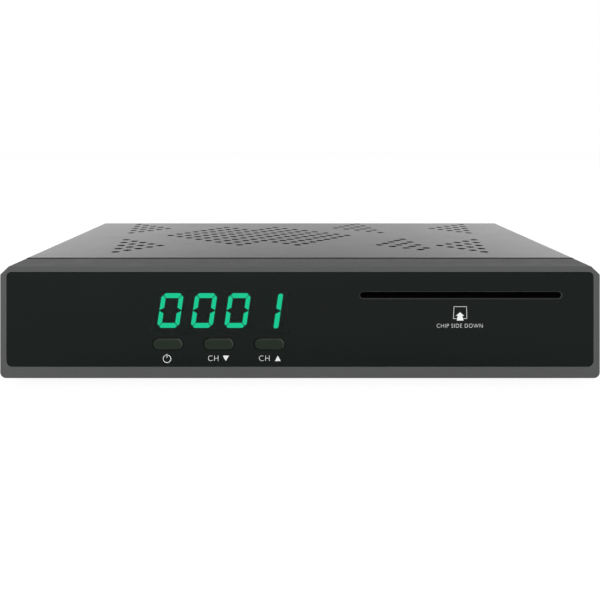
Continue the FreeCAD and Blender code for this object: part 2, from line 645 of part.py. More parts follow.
# ---- Display -----------------------------------------------------------------------------------
def segment_outlines(last):
    """Each segment of an upright digit, as points from its lower left corner.

    A bar and an upright share a cut corner, but the last digit's uprights are as broad as its
    bars and have their ends to themselves.
    """
    wide, tall, bar = DIGIT_WIDTH, DIGIT_HEIGHT, BAR_WIDTH
    gap, middle = SEGMENT_GAP, tall / 2
    side, cut = (bar, LAST_DIGIT_CORNER) if last else (UPRIGHT_WIDTH, DIGIT_CORNER)
    if last:
        bar_end = [(side + gap, tall)]
        upright_end = [(0.0, tall - cut), (cut, tall), (side - cut, tall), (side, tall - cut)]
    else:
        bar_end = [(cut + gap / 2, tall), (cut / 2 + gap, tall - cut / 2)]
        low, notch = tall - cut - gap / 2, tall - cut / 2 - gap
        upright_end = [(0.0, low), (cut / 2, notch), (side, tall - bar - gap)]

    def flipped(points):
        return [(u, tall - v) for u, v in points]

    def turned(points):
        return [(wide - u, v) for u, v in points]
    bar_end.append((side + gap, tall - bar))
    top = bar_end + turned(bar_end)[::-1]
    upper_left = upright_end + [(side, middle + bar / 2 + gap), (0.0, middle + gap)]
    bar_across = [
        (gap, middle),
        (side + gap, middle + bar / 2),
        (wide - side - gap, middle + bar / 2),
        (wide - gap, middle),
        (wide - side - gap, middle - bar / 2),
        (side + gap, middle - bar / 2),
    ]
    return {
        "a": top,
        "b": turned(upper_left),
        "c": turned(flipped(upper_left)),
        "d": flipped(top),
        "e": flipped(upper_left),
        "f": upper_left,
        "g": bar_across,
    }


def segments(d0, d1, lit):
    """The lit or the unlit segments of all digits, each a solid of its own."""
    solids = []
    for place, shown in enumerate(LIT_SEGMENTS):
        last = place == len(LIT_SEGMENTS) - 1
        left = DIGIT_X + place * DIGIT_PITCH + (LAST_DIGIT_SHIFT if last else 0.0)
        foot = DIGIT_Z - (LAST_DIGIT_DROP if last else 0.0)
        for name, points in segment_outlines(last).items():
            if (name in shown) != lit:
                continue
            corners = [(left + u + v * DIGIT_LEAN, foot + v, 0.0) for u, v in points]
            solids.append(slab_back(corners, d0, d1))
    return solids


def display_body():
    half_x, half_z = DISPLAY_WIDTH / 2, DISPLAY_HEIGHT / 2
    body = block(DISPLAY_X - half_x, DISPLAY_X + half_x, DISPLAY_FRONT, FRONT_BOARD_DEPTH,
                 DISPLAY_Z - half_z, DISPLAY_Z + half_z)
    pockets = segments(DISPLAY_FRONT - SINK, DISPLAY_FRONT + SEGMENT_DEPTH, True)
    pockets += segments(DISPLAY_FRONT - SINK, DISPLAY_FRONT + SEGMENT_DEPTH, False)
    return body.cut(Part.makeCompound(pockets))


def display_segments(lit):
    return Part.makeCompound(segments(DISPLAY_FRONT, DISPLAY_FRONT + SEGMENT_DEPTH, lit))


# ---- Front board -------------------------------------------------------------------------------
def front_board():
    back = FRONT_BOARD_DEPTH + BOARD_THICKNESS
    shape = block(FRONT_BOARD_X0, FRONT_BOARD_X1, FRONT_BOARD_DEPTH, back,
                  FRONT_BOARD_Z0, FRONT_BOARD_Z1)
    hole = SMALL_SCREW_RADIUS + THROUGH_GAP
    for x, z in post_spots():
        shape = shape.cut(rod_back(x, z, hole, FRONT_BOARD_DEPTH - PAST, back + PAST))
    return shape


def front_board_screws():
    back = FRONT_Y + FRONT_BOARD_DEPTH + BOARD_THICKNESS
    length = FRONT_BOARD_DEPTH + BOARD_THICKNESS - FRONT_WALL_BACK - SCREW_TIP_GAP
    screws = [screw(V(x, back, z), V(0, -1, 0), SMALL_SCREW_RADIUS, length) for x, z in post_spots()]
    return Part.makeCompound(screws)


def ir_receiver():
    half = SENSOR_SIZE / 2
    front = FRONT_BOARD_DEPTH - SENSOR_BODY
    body = block(SENSOR_X - half, SENSOR_X + half, front, FRONT_BOARD_DEPTH,
                 SENSOR_Z - half, SENSOR_Z + half)
    neck = rod_back(SENSOR_X, SENSOR_Z, SENSOR_DOME, FRONT_WALL_BACK, front + SINK)
    centre = V(SENSOR_X, FRONT_Y + FRONT_WALL_BACK, SENSOR_Z)
    flat = SENSOR_DOME * SENSOR_DOME_SHARE
    dome = Part.makeSphere(SENSOR_DOME, centre)
    keep = block(SENSOR_X - half, SENSOR_X + half, FRONT_WALL_BACK - flat, front, SENSOR_Z - half,
                 SENSOR_Z + half)
    return joined([body, neck, dome.common(keep)])


def ribbon_headers():
    half = RIBBON_WIDTH / 2 + HEADER_END
    back = FRONT_BOARD_DEPTH + BOARD_THICKNESS
    on_front = block(RIBBON_X - half, RIBBON_X + half, back, back + HEADER_DEEP,
                     FRONT_HEADER_Z - HEADER_BODY / 2, FRONT_HEADER_Z + HEADER_BODY / 2)
    on_main = block(RIBBON_X - half, RIBBON_X + half, REAR_HEADER_DEPTH - HEADER_BODY / 2,
                    REAR_HEADER_DEPTH + HEADER_BODY / 2, MAIN_TOP_Z, MAIN_TOP_Z + HEADER_DEEP)
    return Part.makeCompound([on_front, on_main])


def front_ribbon():
    start = FRONT_BOARD_DEPTH + BOARD_THICKNESS + HEADER_DEEP
    half = RIBBON_THICKNESS / 2
    low = MAIN_TOP_Z + HEADER_DEEP
    z0, z1 = FRONT_HEADER_Z - half, FRONT_HEADER_Z + half
    d0, d1 = REAR_HEADER_DEPTH - half, REAR_HEADER_DEPTH + half
    corners = [
        (start, z0, 0.0),
        (start, z1, 0.0),
        (d1, z1, RIBBON_BEND + RIBBON_THICKNESS),
        (d1, low, 0.0),
        (d0, low, 0.0),
        (d0, z0, RIBBON_BEND),
    ]
    return slab_side(corners, RIBBON_X - RIBBON_WIDTH / 2, RIBBON_X + RIBBON_WIDTH / 2)


# ---- Cover -------------------------------------------------------------------------------------
def centre_vents():
    """A field of two overlapping diamonds, as (x, depth) points."""
    spots = []
    rows = int(2 * CENTRE_VENT_HALF)
    halves = int(2 * (CENTRE_VENT_HALF + CENTRE_VENT_SPLIT))
    for row in range(-rows, rows + 1):
        for step in range(-halves, halves + 1):
            along = step / 2
            reach = min(abs(along - CENTRE_VENT_SPLIT), abs(along + CENTRE_VENT_SPLIT))
            if (row + step) % 2 or reach + abs(row) / 2 > CENTRE_VENT_HALF:
                continue
            back = row * VENT_PITCH / 2
            x = CENTRE_VENT_X + along * VENT_PITCH + back * CENTRE_VENT_LEAN
            spots.append((x, CENTRE_VENT_DEPTH + back))
    return spots


def wedge_vents(side, gap, behind, hand, lean):
    """A triangular field on one hand of the cover, pointing to its middle.

    Its longest column stands that far from the cover's side, and its nearest hole that far
    from the cover's back edge, or else from its front edge.
    """
    spots = []
    half_length = (WEDGE_VENT_COLUMNS - 1) / 2 * VENT_PITCH
    middle = BODY_DEPTH - gap - half_length if behind else COVER_FRONT + gap + half_length
    for column in range(WEDGE_VENT_COLUMNS):
        count = WEDGE_VENT_COLUMNS - column
        for i in range(count):
            back = (i - (count - 1) / 2) * VENT_PITCH
            x = hand * (COVER_HALF - side - column * VENT_PITCH / 2) + back * lean
            spots.append((x, middle + back))
    return spots


def vent_spots():
    spots = centre_vents()
    inner_front = wedge_vents(INNER_FRONT_WEDGE_SIDE, INNER_FRONT_WEDGE_GAP, False, 1, INNER_WEDGE_LEAN)
    spots += inner_front[1:]    # the hole nearest the front is left out here
    spots += wedge_vents(INNER_REAR_WEDGE_SIDE, INNER_REAR_WEDGE_GAP, True, 1, INNER_WEDGE_LEAN)
    for hand in (-1, 1):
        lean = hand * SIDE_WEDGE_LEAN
        spots += wedge_vents(FRONT_WEDGE_SIDE, FRONT_WEDGE_GAP, False, hand, lean)
        spots += wedge_vents(REAR_WEDGE_SIDE, REAR_WEDGE_GAP, True, hand, lean)
    return spots


def cover_top(d0, d1):
    """The flat of the cover's top, with its vents."""
    half = COVER_HALF - COVER_BEND
    low = TOP_Z - SHEET
    corners = [V(x, FRONT_Y + d, low) for x, d in ((-half, d0), (half, d0), (half, d1), (-half, d1))]
    outline = Part.makePolygon(corners + corners[:1])
    holes = []
    for x, depth in vent_spots():
        circle = Part.Circle(V(x, FRONT_Y + depth, low), V(0, 0, 1), VENT_RADIUS)
        hole = Part.Wire(circle.toShape())
        hole.reverse()
        holes.append(hole)
    return Part.Face([outline] + holes).extrude(V(0, 0, SHEET))


def cover_side(d0, d1):
    """The cover's right side with its bend."""
    flat = COVER_HALF - COVER_BEND
    inner = COVER_HALF - SHEET
    corners = [
        (flat, TOP_Z, 0.0),
        (flat, TOP_Z - SHEET, 0.0),
        (inner, TOP_Z - SHEET, COVER_BEND - SHEET),
        (inner, FOOT_HEIGHT, 0.0),
        (COVER_HALF, FOOT_HEIGHT, 0.0),
        (COVER_HALF, TOP_Z, COVER_BEND - 1e-4),
    ]
    shape = slab_back(corners, d0, d1)
    for depth in SIDE_SCREW_DEPTHS:
        hole = Part.makeCylinder(SCREW_RADIUS + THROUGH_GAP, 4 * SHEET,
                                 V(inner - SHEET, FRONT_Y + depth, SIDE_SCREW_Z), V(1, 0, 0))
        shape = shape.cut(hole)
    return shape


def top_cover():
    d0, d1 = COVER_FRONT, BODY_DEPTH
    side = cover_side(d0, d1)
    lip_half = COVER_HALF - LIP_SIDE_RELIEF
    lip = block(-lip_half, lip_half, d1 - SHEET, d1, TOP_Z - COVER_LIP, TOP_Z - SHEET / 2)
    for x in (-REAR_SCREW_X, REAR_SCREW_X):
        lip = lip.cut(rod_back(x, REAR_SCREW_Z, SCREW_RADIUS + THROUGH_GAP, d1 - 2 * SHEET, d1 + PAST))
    return joined([cover_top(d0, d1), side, mirrored(side), lip])


# ---- Tray --------------------------------------------------------------------------------------
def board_hole_spots():
    """Where the main board is screwed down, as (x, depth).

    The rear screws stand before the tuner and the power jack, which take up the rear corners.
    """
    x = MAIN_HALF - BOARD_HOLE_INSET
    front = MAIN_FRONT + BOARD_HOLE_INSET
    rear_left = tuner_back() - TUNER_LENGTH - BOARD_SCREW_GAP
    rear_right = SOCKET_FACE - JACK_LENGTH - BOARD_SCREW_GAP
    return [(-x, front), (x, front), (-x, rear_left), (x, rear_right)]


def rear_cutouts():
    """The holes in the rear wall, each a little larger than its socket."""
    d0, d1 = TRAY_BACK - 2 * SHEET, TRAY_BACK + PAST
    gap = CUTOUT_GAP
    av_z = MAIN_TOP_Z + AV_HEIGHT / 2
    cuts = [
        rod_back(TUNER_X, ANTENNA_Z, ANTENNA_RADIUS + ANTENNA_ROOT + gap, d0, d1),
        slab_back(rectangle(AV_X, av_z, AV_WIDTH + 2 * gap, AV_HEIGHT + 2 * gap, AV_EDGE), d0, d1),
        rod_back(AUDIO_X, AUDIO_Z, AUDIO_RING_RADIUS + AUDIO_COLLAR + gap, d0, d1),
    ]
    flat_sockets = (
        (VIDEO_X, VIDEO_WIDTH, VIDEO_HEIGHT),
        (SERVICE_X, SERVICE_WIDTH, SERVICE_HEIGHT),
        (JACK_X, JACK_WIDTH, JACK_HEIGHT),
    )
    for x, width, height in flat_sockets:
        z = MAIN_TOP_Z + height / 2
        cuts.append(slab_back(rectangle(x, z, width + 2 * gap, height + 2 * gap, SHELL_EDGE), d0, d1))
    return cuts


def floor_slots():
    """Cooling slots in the tray's floor, in two groups."""
    cuts = []
    first = -(FLOOR_SLOT_COUNT - 1) / 2 * FLOOR_SLOT_PITCH
    for middle in FLOOR_SLOT_XS:
        for i in range(FLOOR_SLOT_COUNT):
            x = middle + first + i * FLOOR_SLOT_PITCH
            corners = stadium(0.0, 0.0, FLOOR_SLOT_LENGTH, FLOOR_SLOT_WIDTH)
            turned = [(x - v, FLOOR_SLOT_DEPTH + u, radius) for u, v, radius in corners]
            cuts.append(slab_up(turned, FOOT_HEIGHT - PAST, TRAY_TOP_Z + PAST))
    return cuts


def chassis_tray():
    floor = block(-TRAY_HALF, TRAY_HALF, TRAY_FRONT, TRAY_BACK, FOOT_HEIGHT, TRAY_TOP_Z)
    flange_top = FOOT_HEIGHT + FLANGE
    side = block(TRAY_HALF - SHEET, TRAY_HALF, TRAY_FRONT + FLANGE_RELIEF, TRAY_BACK - FLANGE_RELIEF,
                 FOOT_HEIGHT, flange_top)
    for depth in SIDE_SCREW_DEPTHS:
        side = side.cut(Part.makeCylinder(SCREW_RADIUS + PILOT_GAP, 4 * SHEET,
                                          V(TRAY_HALF - 2 * SHEET, FRONT_Y + depth, SIDE_SCREW_Z),
                                          V(1, 0, 0)))
    front_half = TRAY_HALF - FLANGE_RELIEF
    front = block(-front_half, front_half, TRAY_FRONT, TRAY_FRONT + SHEET, FOOT_HEIGHT, flange_top)
    for x in BOSS_XS:
        hole = SCREW_RADIUS + THROUGH_GAP
        front = front.cut(rod_back(x, BOSS_Z, hole, TRAY_FRONT - PAST, TRAY_FRONT + 2 * SHEET))
    rear_top = TOP_Z - SHEET - REAR_WALL_TOP_GAP
    rear = block(-TRAY_HALF, TRAY_HALF, TRAY_BACK - SHEET, TRAY_BACK, FOOT_HEIGHT, rear_top)
    rear = rear.cut(Part.makeCompound(rear_cutouts()))
    for x in (-REAR_SCREW_X, REAR_SCREW_X):
        hole = SCREW_RADIUS + PILOT_GAP
        rear = rear.cut(rod_back(x, REAR_SCREW_Z, hole, TRAY_BACK - 2 * SHEET, TRAY_BACK + PAST))
    pillars = [rod_up(x, d, PILLAR_RADIUS, TRAY_TOP_Z - SHEET / 2, MAIN_BOARD_Z)
               for x, d in board_hole_spots()]
    shape = joined([floor, side, mirrored(side), front, rear] + pillars)
    pilots = [rod_up(x, d, SCREW_RADIUS + PILOT_GAP, TRAY_TOP_Z, MAIN_BOARD_Z + PAST)
              for x, d in board_hole_spots()]
    return shape.cut(Part.makeCompound(pilots)).cut(Part.makeCompound(floor_slots()))


def cover_screws():
    screws = []
    outside = COVER_HALF
    for depth in SIDE_SCREW_DEPTHS:
        for side in (-1, 1):
            start = V(side * outside, FRONT_Y + depth, SIDE_SCREW_Z)
            screws.append(screw(start, V(-side, 0, 0), SCREW_RADIUS, SCREW_LENGTH))
    for x in (-REAR_SCREW_X, REAR_SCREW_X):
        start = V(x, FRONT_Y + BODY_DEPTH, REAR_SCREW_Z)
        screws.append(screw(start, V(0, -1, 0), SCREW_RADIUS, SCREW_LENGTH))
    return Part.makeCompound(screws)


def bezel_screws():
    back = FRONT_Y + TRAY_FRONT + SHEET
    return Part.makeCompound(
        [screw(V(x, back, BOSS_Z), V(0, -1, 0), SCREW_RADIUS, SCREW_LENGTH) for x in BOSS_XS])


def foot(x, depth):
    """A turned rubber foot, narrower at the floor."""
    centre = V(x, FRONT_Y + depth, 0.0)
    body = Part.makeCone(FOOT_RADIUS - FOOT_TAPER, FOOT_RADIUS, FOOT_HEIGHT, centre)
    return body.makeFillet(FOOT_EDGE, edges_where(body, lambda p: near(p.z, 0.0)))


# ---- Main board --------------------------------------------------------------------------------
def main_board():
    shape = block(-MAIN_HALF, MAIN_HALF, MAIN_FRONT, MAIN_BACK, MAIN_BOARD_Z, MAIN_TOP_Z)
    for x, depth in board_hole_spots():
        hole = SCREW_RADIUS + THROUGH_GAP
        shape = shape.cut(rod_up(x, depth, hole, MAIN_BOARD_Z - PAST, MAIN_TOP_Z + PAST))
    return shape


def board_screws():
    length = BOARD_THICKNESS + PILLAR_HEIGHT - SCREW_TIP_GAP
    screws = [screw(V(x, FRONT_Y + depth, MAIN_TOP_Z), V(0, 0, -1), SCREW_RADIUS, length)
              for x, depth in board_hole_spots()]
    return Part.makeCompound(screws)


def on_board(x, depth, size, lift=0.0):
    """A block that lies on the main board."""
    width, length, height = size
    z0 = MAIN_TOP_Z + lift
    return block(x - width / 2, x + width / 2, depth - length / 2, depth + length / 2, z0, z0 + height)


def processor():
    return on_board(PROCESSOR_X, PROCESSOR_DEPTH, (PROCESSOR_SIZE, PROCESSOR_SIZE, PROCESSOR_HEIGHT))


def heatsink():
    size = (HEATSINK_SIZE, HEATSINK_SIZE, HEATSINK_HEIGHT)
    body = on_board(PROCESSOR_X, PROCESSOR_DEPTH, size, PROCESSOR_HEIGHT)
    pitch = (HEATSINK_SIZE - HEATSINK_FIN) / (HEATSINK_FINS - 1)
    gap = pitch - HEATSINK_FIN
    first = PROCESSOR_X - HEATSINK_SIZE / 2 + HEATSINK_FIN + gap / 2
    deep = HEATSINK_HEIGHT - HEATSINK_BASE + PAST
    lift = PROCESSOR_HEIGHT + HEATSINK_BASE
    grooves = [on_board(first + i * pitch, PROCESSOR_DEPTH, (gap, HEATSINK_SIZE + 2 * PAST, deep), lift)
               for i in range(HEATSINK_FINS - 1)]
    return body.cut(Part.makeCompound(grooves))


def memory_chips():
    return Part.makeCompound([on_board(x, depth, MEMORY_SIZE) for x, depth in MEMORY_SPOTS])


def crystal():
    x, depth = CRYSTAL_SPOT
    width, length, height = CRYSTAL_SIZE
    corners = stadium(x, depth, width, length)
    return slab_up(corners, MAIN_TOP_Z, MAIN_TOP_Z + height)


def capacitors():
    cans = []
    right = [(TRAY_HALF - x, depth) for x, depth in RIGHT_CAPACITOR_SPOTS]
    for x, depth in [*LEFT_CAPACITOR_SPOTS, *right]:
        can = rod_up(x, depth, CAPACITOR_RADIUS, MAIN_TOP_Z, MAIN_TOP_Z + CAPACITOR_HEIGHT)
        rim = edges_where(can, lambda p: near(p.z, MAIN_TOP_Z + CAPACITOR_HEIGHT))
        cans.append(can.makeFillet(SOCKET_EDGE, rim))
    return Part.makeCompound(cans)


def inductors():
    coils = []
    for from_side, depth in INDUCTOR_SPOTS:
        x = TRAY_HALF - from_side
        square = on_board(x, depth, (2 * INDUCTOR_RADIUS, 2 * INDUCTOR_RADIUS, INDUCTOR_BASE))
        drum = rod_up(x, depth, INDUCTOR_RADIUS - INDUCTOR_STEP,
                      MAIN_TOP_Z + INDUCTOR_BASE / 2, MAIN_TOP_Z + INDUCTOR_HEIGHT)
        coils.append(joined([square, drum]))
    return Part.makeCompound(coils)


# ---- Tuner and antenna connector ---------------------------------------------------------------
def tuner_back():
    return TRAY_BACK - SHEET - TUNER_GAP


def tuner_can():
    half = TUNER_WIDTH / 2
    back = tuner_back()
    body = block(TUNER_X - half, TUNER_X + half, back - TUNER_LENGTH, back, MAIN_TOP_Z,
                 MAIN_TOP_Z + TUNER_HEIGHT)
    top = MAIN_TOP_Z + TUNER_HEIGHT
    return body.makeFillet(SOCKET_EDGE, edges_where(body, lambda p: near(p.z, top)))


def antenna_connector():
    barrel = rod_back(TUNER_X, ANTENNA_Z, ANTENNA_RADIUS, tuner_back(), ANTENNA_TIP)
    tip = edges_where(barrel, lambda p: near(p.y, FRONT_Y + ANTENNA_TIP))
    barrel = barrel.makeChamfer(ANTENNA_TIP_CHAMFER, tip)
    root_end = TRAY_BACK + WASHER_THICKNESS + NUT_THICKNESS
    root = rod_back(TUNER_X, ANTENNA_Z, ANTENNA_RADIUS + ANTENNA_ROOT, tuner_back(), root_end)
    barrel = joined([barrel, root])
    return barrel.cut(rod_back(TUNER_X, ANTENNA_Z, ANTENNA_BORE, tuner_back() + SHEET, ANTENNA_TIP + PAST))


def antenna_insulator():
    radius = ANTENNA_BORE - SHELL_FIT
    core = rod_back(TUNER_X, ANTENNA_Z, radius, tuner_back() + SHEET, ANTENNA_TIP - ANTENNA_TIP_CHAMFER)
    start = ANTENNA_TIP - ANTENNA_CONTACT_DEPTH
    return core.cut(rod_back(TUNER_X, ANTENNA_Z, ANTENNA_CONTACT_RADIUS, start, ANTENNA_TIP + PAST))


def antenna_washer():
    ring = rod_back(TUNER_X, ANTENNA_Z, WASHER_RADIUS, TRAY_BACK, TRAY_BACK + WASHER_THICKNESS)
    hole = ANTENNA_RADIUS + ANTENNA_ROOT + THREAD_GAP
    return ring.cut(rod_back(TUNER_X, ANTENNA_Z, hole, TRAY_BACK - PAST, TRAY_BACK + PAST))


def antenna_nut():
    d0 = TRAY_BACK + WASHER_THICKNESS
    d1 = d0 + NUT_THICKNESS
    corner = NUT_FLATS / 2 / math.cos(math.radians(30))
    corners = [(TUNER_X + corner * math.cos(math.radians(60 * i)),
                ANTENNA_Z + corner * math.sin(math.radians(60 * i)), 0.0) for i in range(6)]
    body = slab_back(corners, d0, d1)
    hole = ANTENNA_RADIUS + ANTENNA_ROOT + THREAD_GAP
    return body.cut(rod_back(TUNER_X, ANTENNA_Z, hole, d0 - PAST, d1 + PAST))


# ---- Card reader -------------------------------------------------------------------------------
def contact_spots():
    """The eight contacts under the card, as (x, depth)."""
    xs = [SLOT_X + CONTACT_SHIFT + (i - 1.5) * CONTACT_PITCH for i in range(4)]
    return [(x, CONTACT_DEPTH + row * CONTACT_ROW) for row in range(2) for x in xs]


def reader_base():
    top = CHANNEL_FLOOR_Z + CARD_CHANNEL
    body = block(READER_LEFT, READER_RIGHT, READER_FRONT, READER_BACK, READER_BASE_Z, top)
    half = CARD_WIDTH / 2
    channel = block(SLOT_X - half, SLOT_X + half, READER_FRONT - PAST, READER_BACK - READER_STOP,
                    CHANNEL_FLOOR_Z, top + PAST)
    shape = body.cut(channel)
    mouth = slab_side([
        (READER_FRONT - SINK, CHANNEL_FLOOR_Z - READER_MOUTH, 0.0),
        (READER_FRONT + READER_MOUTH, CHANNEL_FLOOR_Z + SINK, 0.0),
        (READER_FRONT - SINK, CHANNEL_FLOOR_Z + SINK, 0.0),
    ], SLOT_X - half, SLOT_X + half)
    shape = shape.cut(mouth)
    for x, depth in contact_spots():
        half_x = CONTACT_WIDTH / 2 + CONTACT_GAP
        half_y = CONTACT_LENGTH / 2 + CONTACT_GAP
        pocket = block(x - half_x, x + half_x, depth - half_y, depth + half_y, READER_BASE_Z,
                       CHANNEL_FLOOR_Z + PAST)
        shape = shape.cut(pocket)
    return shape


def reader_lid():
    low = CHANNEL_FLOOR_Z + CARD_CHANNEL
    high = low + READER_LID
    return block(READER_LEFT, READER_RIGHT, READER_FRONT + READER_MOUTH, READER_BACK, low, high)


def reader_contacts():
    leaves = []
    for x, depth in contact_spots():
        near_end = depth - CONTACT_LENGTH / 2
        far_end = depth + CONTACT_LENGTH / 2
        crest = far_end - CONTACT_TAIL
        low = READER_BASE_Z
        top = CHANNEL_FLOOR_Z + CONTACT_RISE
        leaf = CONTACT_LEAF
        corners = [
            (near_end, low, 0.0),
            (far_end, low, 0.0),
            (far_end, low + leaf, 0.0),
            (near_end + 2 * leaf, low + leaf, 0.0),
            (crest, top - leaf, 0.0),
            (crest + CONTACT_TAIL / 2, top - 3 * leaf, 0.0),
            (crest + CONTACT_TAIL / 2 + leaf, top - 2 * leaf, 0.0),
            (crest, top, 0.0),
            (near_end, low + 1.5 * leaf, 0.0),
        ]
        leaves.append(slab_side(corners, x - CONTACT_WIDTH / 2, x + CONTACT_WIDTH / 2))
    return Part.makeCompound(leaves)


def reader_board():
    return block(READER_LEFT, READER_RIGHT, READER_BOARD_FRONT, READER_BACK,
                 READER_BOARD_Z, READER_BASE_Z)


def reader_spacers():
    xs = (READER_LEFT + SPACER_INSET, READER_RIGHT - SPACER_INSET)
    depths = (SPACER_FRONT_DEPTH, READER_BACK - SPACER_INSET)
    return Part.makeCompound(
        [rod_up(x, depth, SPACER_RADIUS, MAIN_TOP_Z, READER_BOARD_Z) for x in xs for depth in depths])


def reader_header():
    half = HEADER_LENGTH / 2
    depth = READER_BACK - HEADER_WIDTH
    return block(SLOT_X - half, SLOT_X + half, depth - HEADER_WIDTH / 2, depth + HEADER_WIDTH / 2,
                 MAIN_TOP_Z, READER_BOARD_Z)


# ---- Sockets -----------------------------------------------------------------------------------
def av_socket():
    front = SOCKET_FACE - AV_LENGTH
    half = AV_WIDTH / 2
    low, high = MAIN_TOP_Z, MAIN_TOP_Z + AV_HEIGHT
    outline = [
        (AV_X - half, low, AV_EDGE),
        (AV_X + half, low, AV_EDGE),
        (AV_X + half, high - AV_CORNER, AV_EDGE),
        (AV_X + half - AV_CORNER, high, AV_EDGE),
        (AV_X - half, high, AV_EDGE),
    ]
    wall = AV_WALL
    inside = [
        (AV_X - half + wall, low + wall, AV_EDGE / 2),
        (AV_X + half - wall, low + wall, AV_EDGE / 2),
        (AV_X + half - wall, high - AV_CORNER - wall / 2, AV_EDGE / 2),
        (AV_X + half - AV_CORNER - wall / 2, high - wall, AV_EDGE / 2),
        (AV_X - half + wall, high - wall, AV_EDGE / 2),
    ]
    middle = (low + high) / 2
    core = slab_back(rectangle(AV_X, middle, AV_CORE_WIDTH, AV_CORE_HEIGHT, AV_EDGE / 2),
                     SOCKET_FACE - AV_RECESS - SINK, SOCKET_FACE - TONGUE_RECESS)
    shape = slab_back(outline, front, SOCKET_FACE)
    shape = shape.cut(slab_back(inside, SOCKET_FACE - AV_RECESS, SOCKET_FACE + PAST))
    shape = joined([shape, core])
    slots = []
    for row in (-1, 1):
        for i in range(AV_SLOTS):
            x = AV_X + (i - (AV_SLOTS - 1) / 2) * AV_SLOT_PITCH + row * AV_SLOT_PITCH / 4
            z = middle + row * AV_CORE_HEIGHT / 4
            slots.append(slab_back(rectangle(x, z, AV_SLOT_WIDTH, AV_SLOT_HEIGHT),
                                   SOCKET_FACE - AV_RECESS + PAST, SOCKET_FACE + PAST))
    return shape.cut(Part.makeCompound(slots))


def audio_jack():
    half = AUDIO_WIDTH / 2
    back = TRAY_BACK - SHEET - TUNER_GAP
    body = block(AUDIO_X - half, AUDIO_X + half, back - AUDIO_LENGTH, back, MAIN_TOP_Z,
                 MAIN_TOP_Z + AUDIO_HEIGHT)
    tip = TRAY_BACK + AUDIO_RING_REACH - TONGUE_RECESS
    core = rod_back(AUDIO_X, AUDIO_Z, AUDIO_CORE_RADIUS, back - SINK, tip)
    collar_radius = AUDIO_RING_RADIUS + AUDIO_COLLAR
    collar = rod_back(AUDIO_X, AUDIO_Z, collar_radius, back - SINK, TRAY_BACK + AUDIO_COLLAR_PROUD)
    shape = joined([body, collar, core])
    bore = rod_back(AUDIO_X, AUDIO_Z, AUDIO_BORE_RADIUS, tip - AUDIO_BORE_DEPTH, tip + PAST)
    return shape.cut(bore)


def audio_ring():
    start = TRAY_BACK + AUDIO_COLLAR_PROUD
    end = TRAY_BACK + AUDIO_RING_REACH
    ring = rod_back(AUDIO_X, AUDIO_Z, AUDIO_RING_RADIUS, start, end)
    inside = AUDIO_RING_RADIUS - AUDIO_RING_WALL
    return ring.cut(rod_back(AUDIO_X, AUDIO_Z, inside, start - PAST, end + PAST))


def shell_outline(x, width, height, corner):
    """A flat socket's outline; its two lower corners may be cut."""
    half = width / 2
    low, high = MAIN_TOP_Z, MAIN_TOP_Z + height
    if not corner:
        return rectangle(x, (low + high) / 2, width, height, SHELL_EDGE)
    return [
        (x - half + corner, low, SHELL_EDGE),
        (x + half - corner, low, SHELL_EDGE),
        (x + half, low + corner, SHELL_EDGE),
        (x + half, high, SHELL_EDGE),
        (x - half, high, SHELL_EDGE),
        (x - half, low + corner, SHELL_EDGE),
    ]


def shrunk(outline, centre_x, centre_z, wall):
    """An outline's corners moved inwards by a wall."""
    corners = []
    for x, z, radius in outline:
        side = math.copysign(min(wall, abs(x - centre_x)), x - centre_x)
        rise = math.copysign(min(wall, abs(z - centre_z)), z - centre_z)
        corners.append((x - side, z - rise, max(radius - wall, SHELL_EDGE / 4)))
    return corners


def socket_shell(x, width, height, length, wall, corner=0.0):
    outline = shell_outline(x, width, height, corner)
    inside = shrunk(outline, x, MAIN_TOP_Z + height / 2, wall)
    shape = slab_back(outline, SOCKET_FACE - length, SOCKET_FACE)
    return shape.cut(slab_back(inside, SOCKET_FACE - length + wall, SOCKET_FACE + PAST))


def socket_tongue(x, width, height, length, wall, tongue_width, tongue_height, corner=0.0):
    """The plastic inside a flat socket: a back block and the tongue."""
    outline = shell_outline(x, width, height, corner)
    inside = shrunk(outline, x, MAIN_TOP_Z + height / 2, wall + SHELL_FIT)
    start = SOCKET_FACE - length + wall
    back = slab_back(inside, start, start + SOCKET_BACK)
    middle = MAIN_TOP_Z + height / 2
    tongue = slab_back(rectangle(x, middle, tongue_width, tongue_height),
                       start + SOCKET_BACK - SINK, SOCKET_FACE - TONGUE_RECESS)
    return joined([back, tongue])


def power_jack():
    half = JACK_WIDTH / 2
    body = block(JACK_X - half, JACK_X + half, SOCKET_FACE - JACK_LENGTH, SOCKET_FACE, MAIN_TOP_Z,
                 MAIN_TOP_Z + JACK_HEIGHT)
    top = MAIN_TOP_Z + JACK_HEIGHT
    body = body.makeFillet(SOCKET_EDGE, edges_where(body, lambda p: near(p.z, top)))
    bore = rod_back(JACK_X, JACK_Z, JACK_BORE_RADIUS, SOCKET_FACE - JACK_BORE_DEPTH, SOCKET_FACE + PAST)
    return body.cut(bore)


def power_pin():
    return rod_back(JACK_X, JACK_Z, JACK_PIN_RADIUS, SOCKET_FACE - JACK_BORE_DEPTH,
                    SOCKET_FACE - JACK_PIN_RECESS)


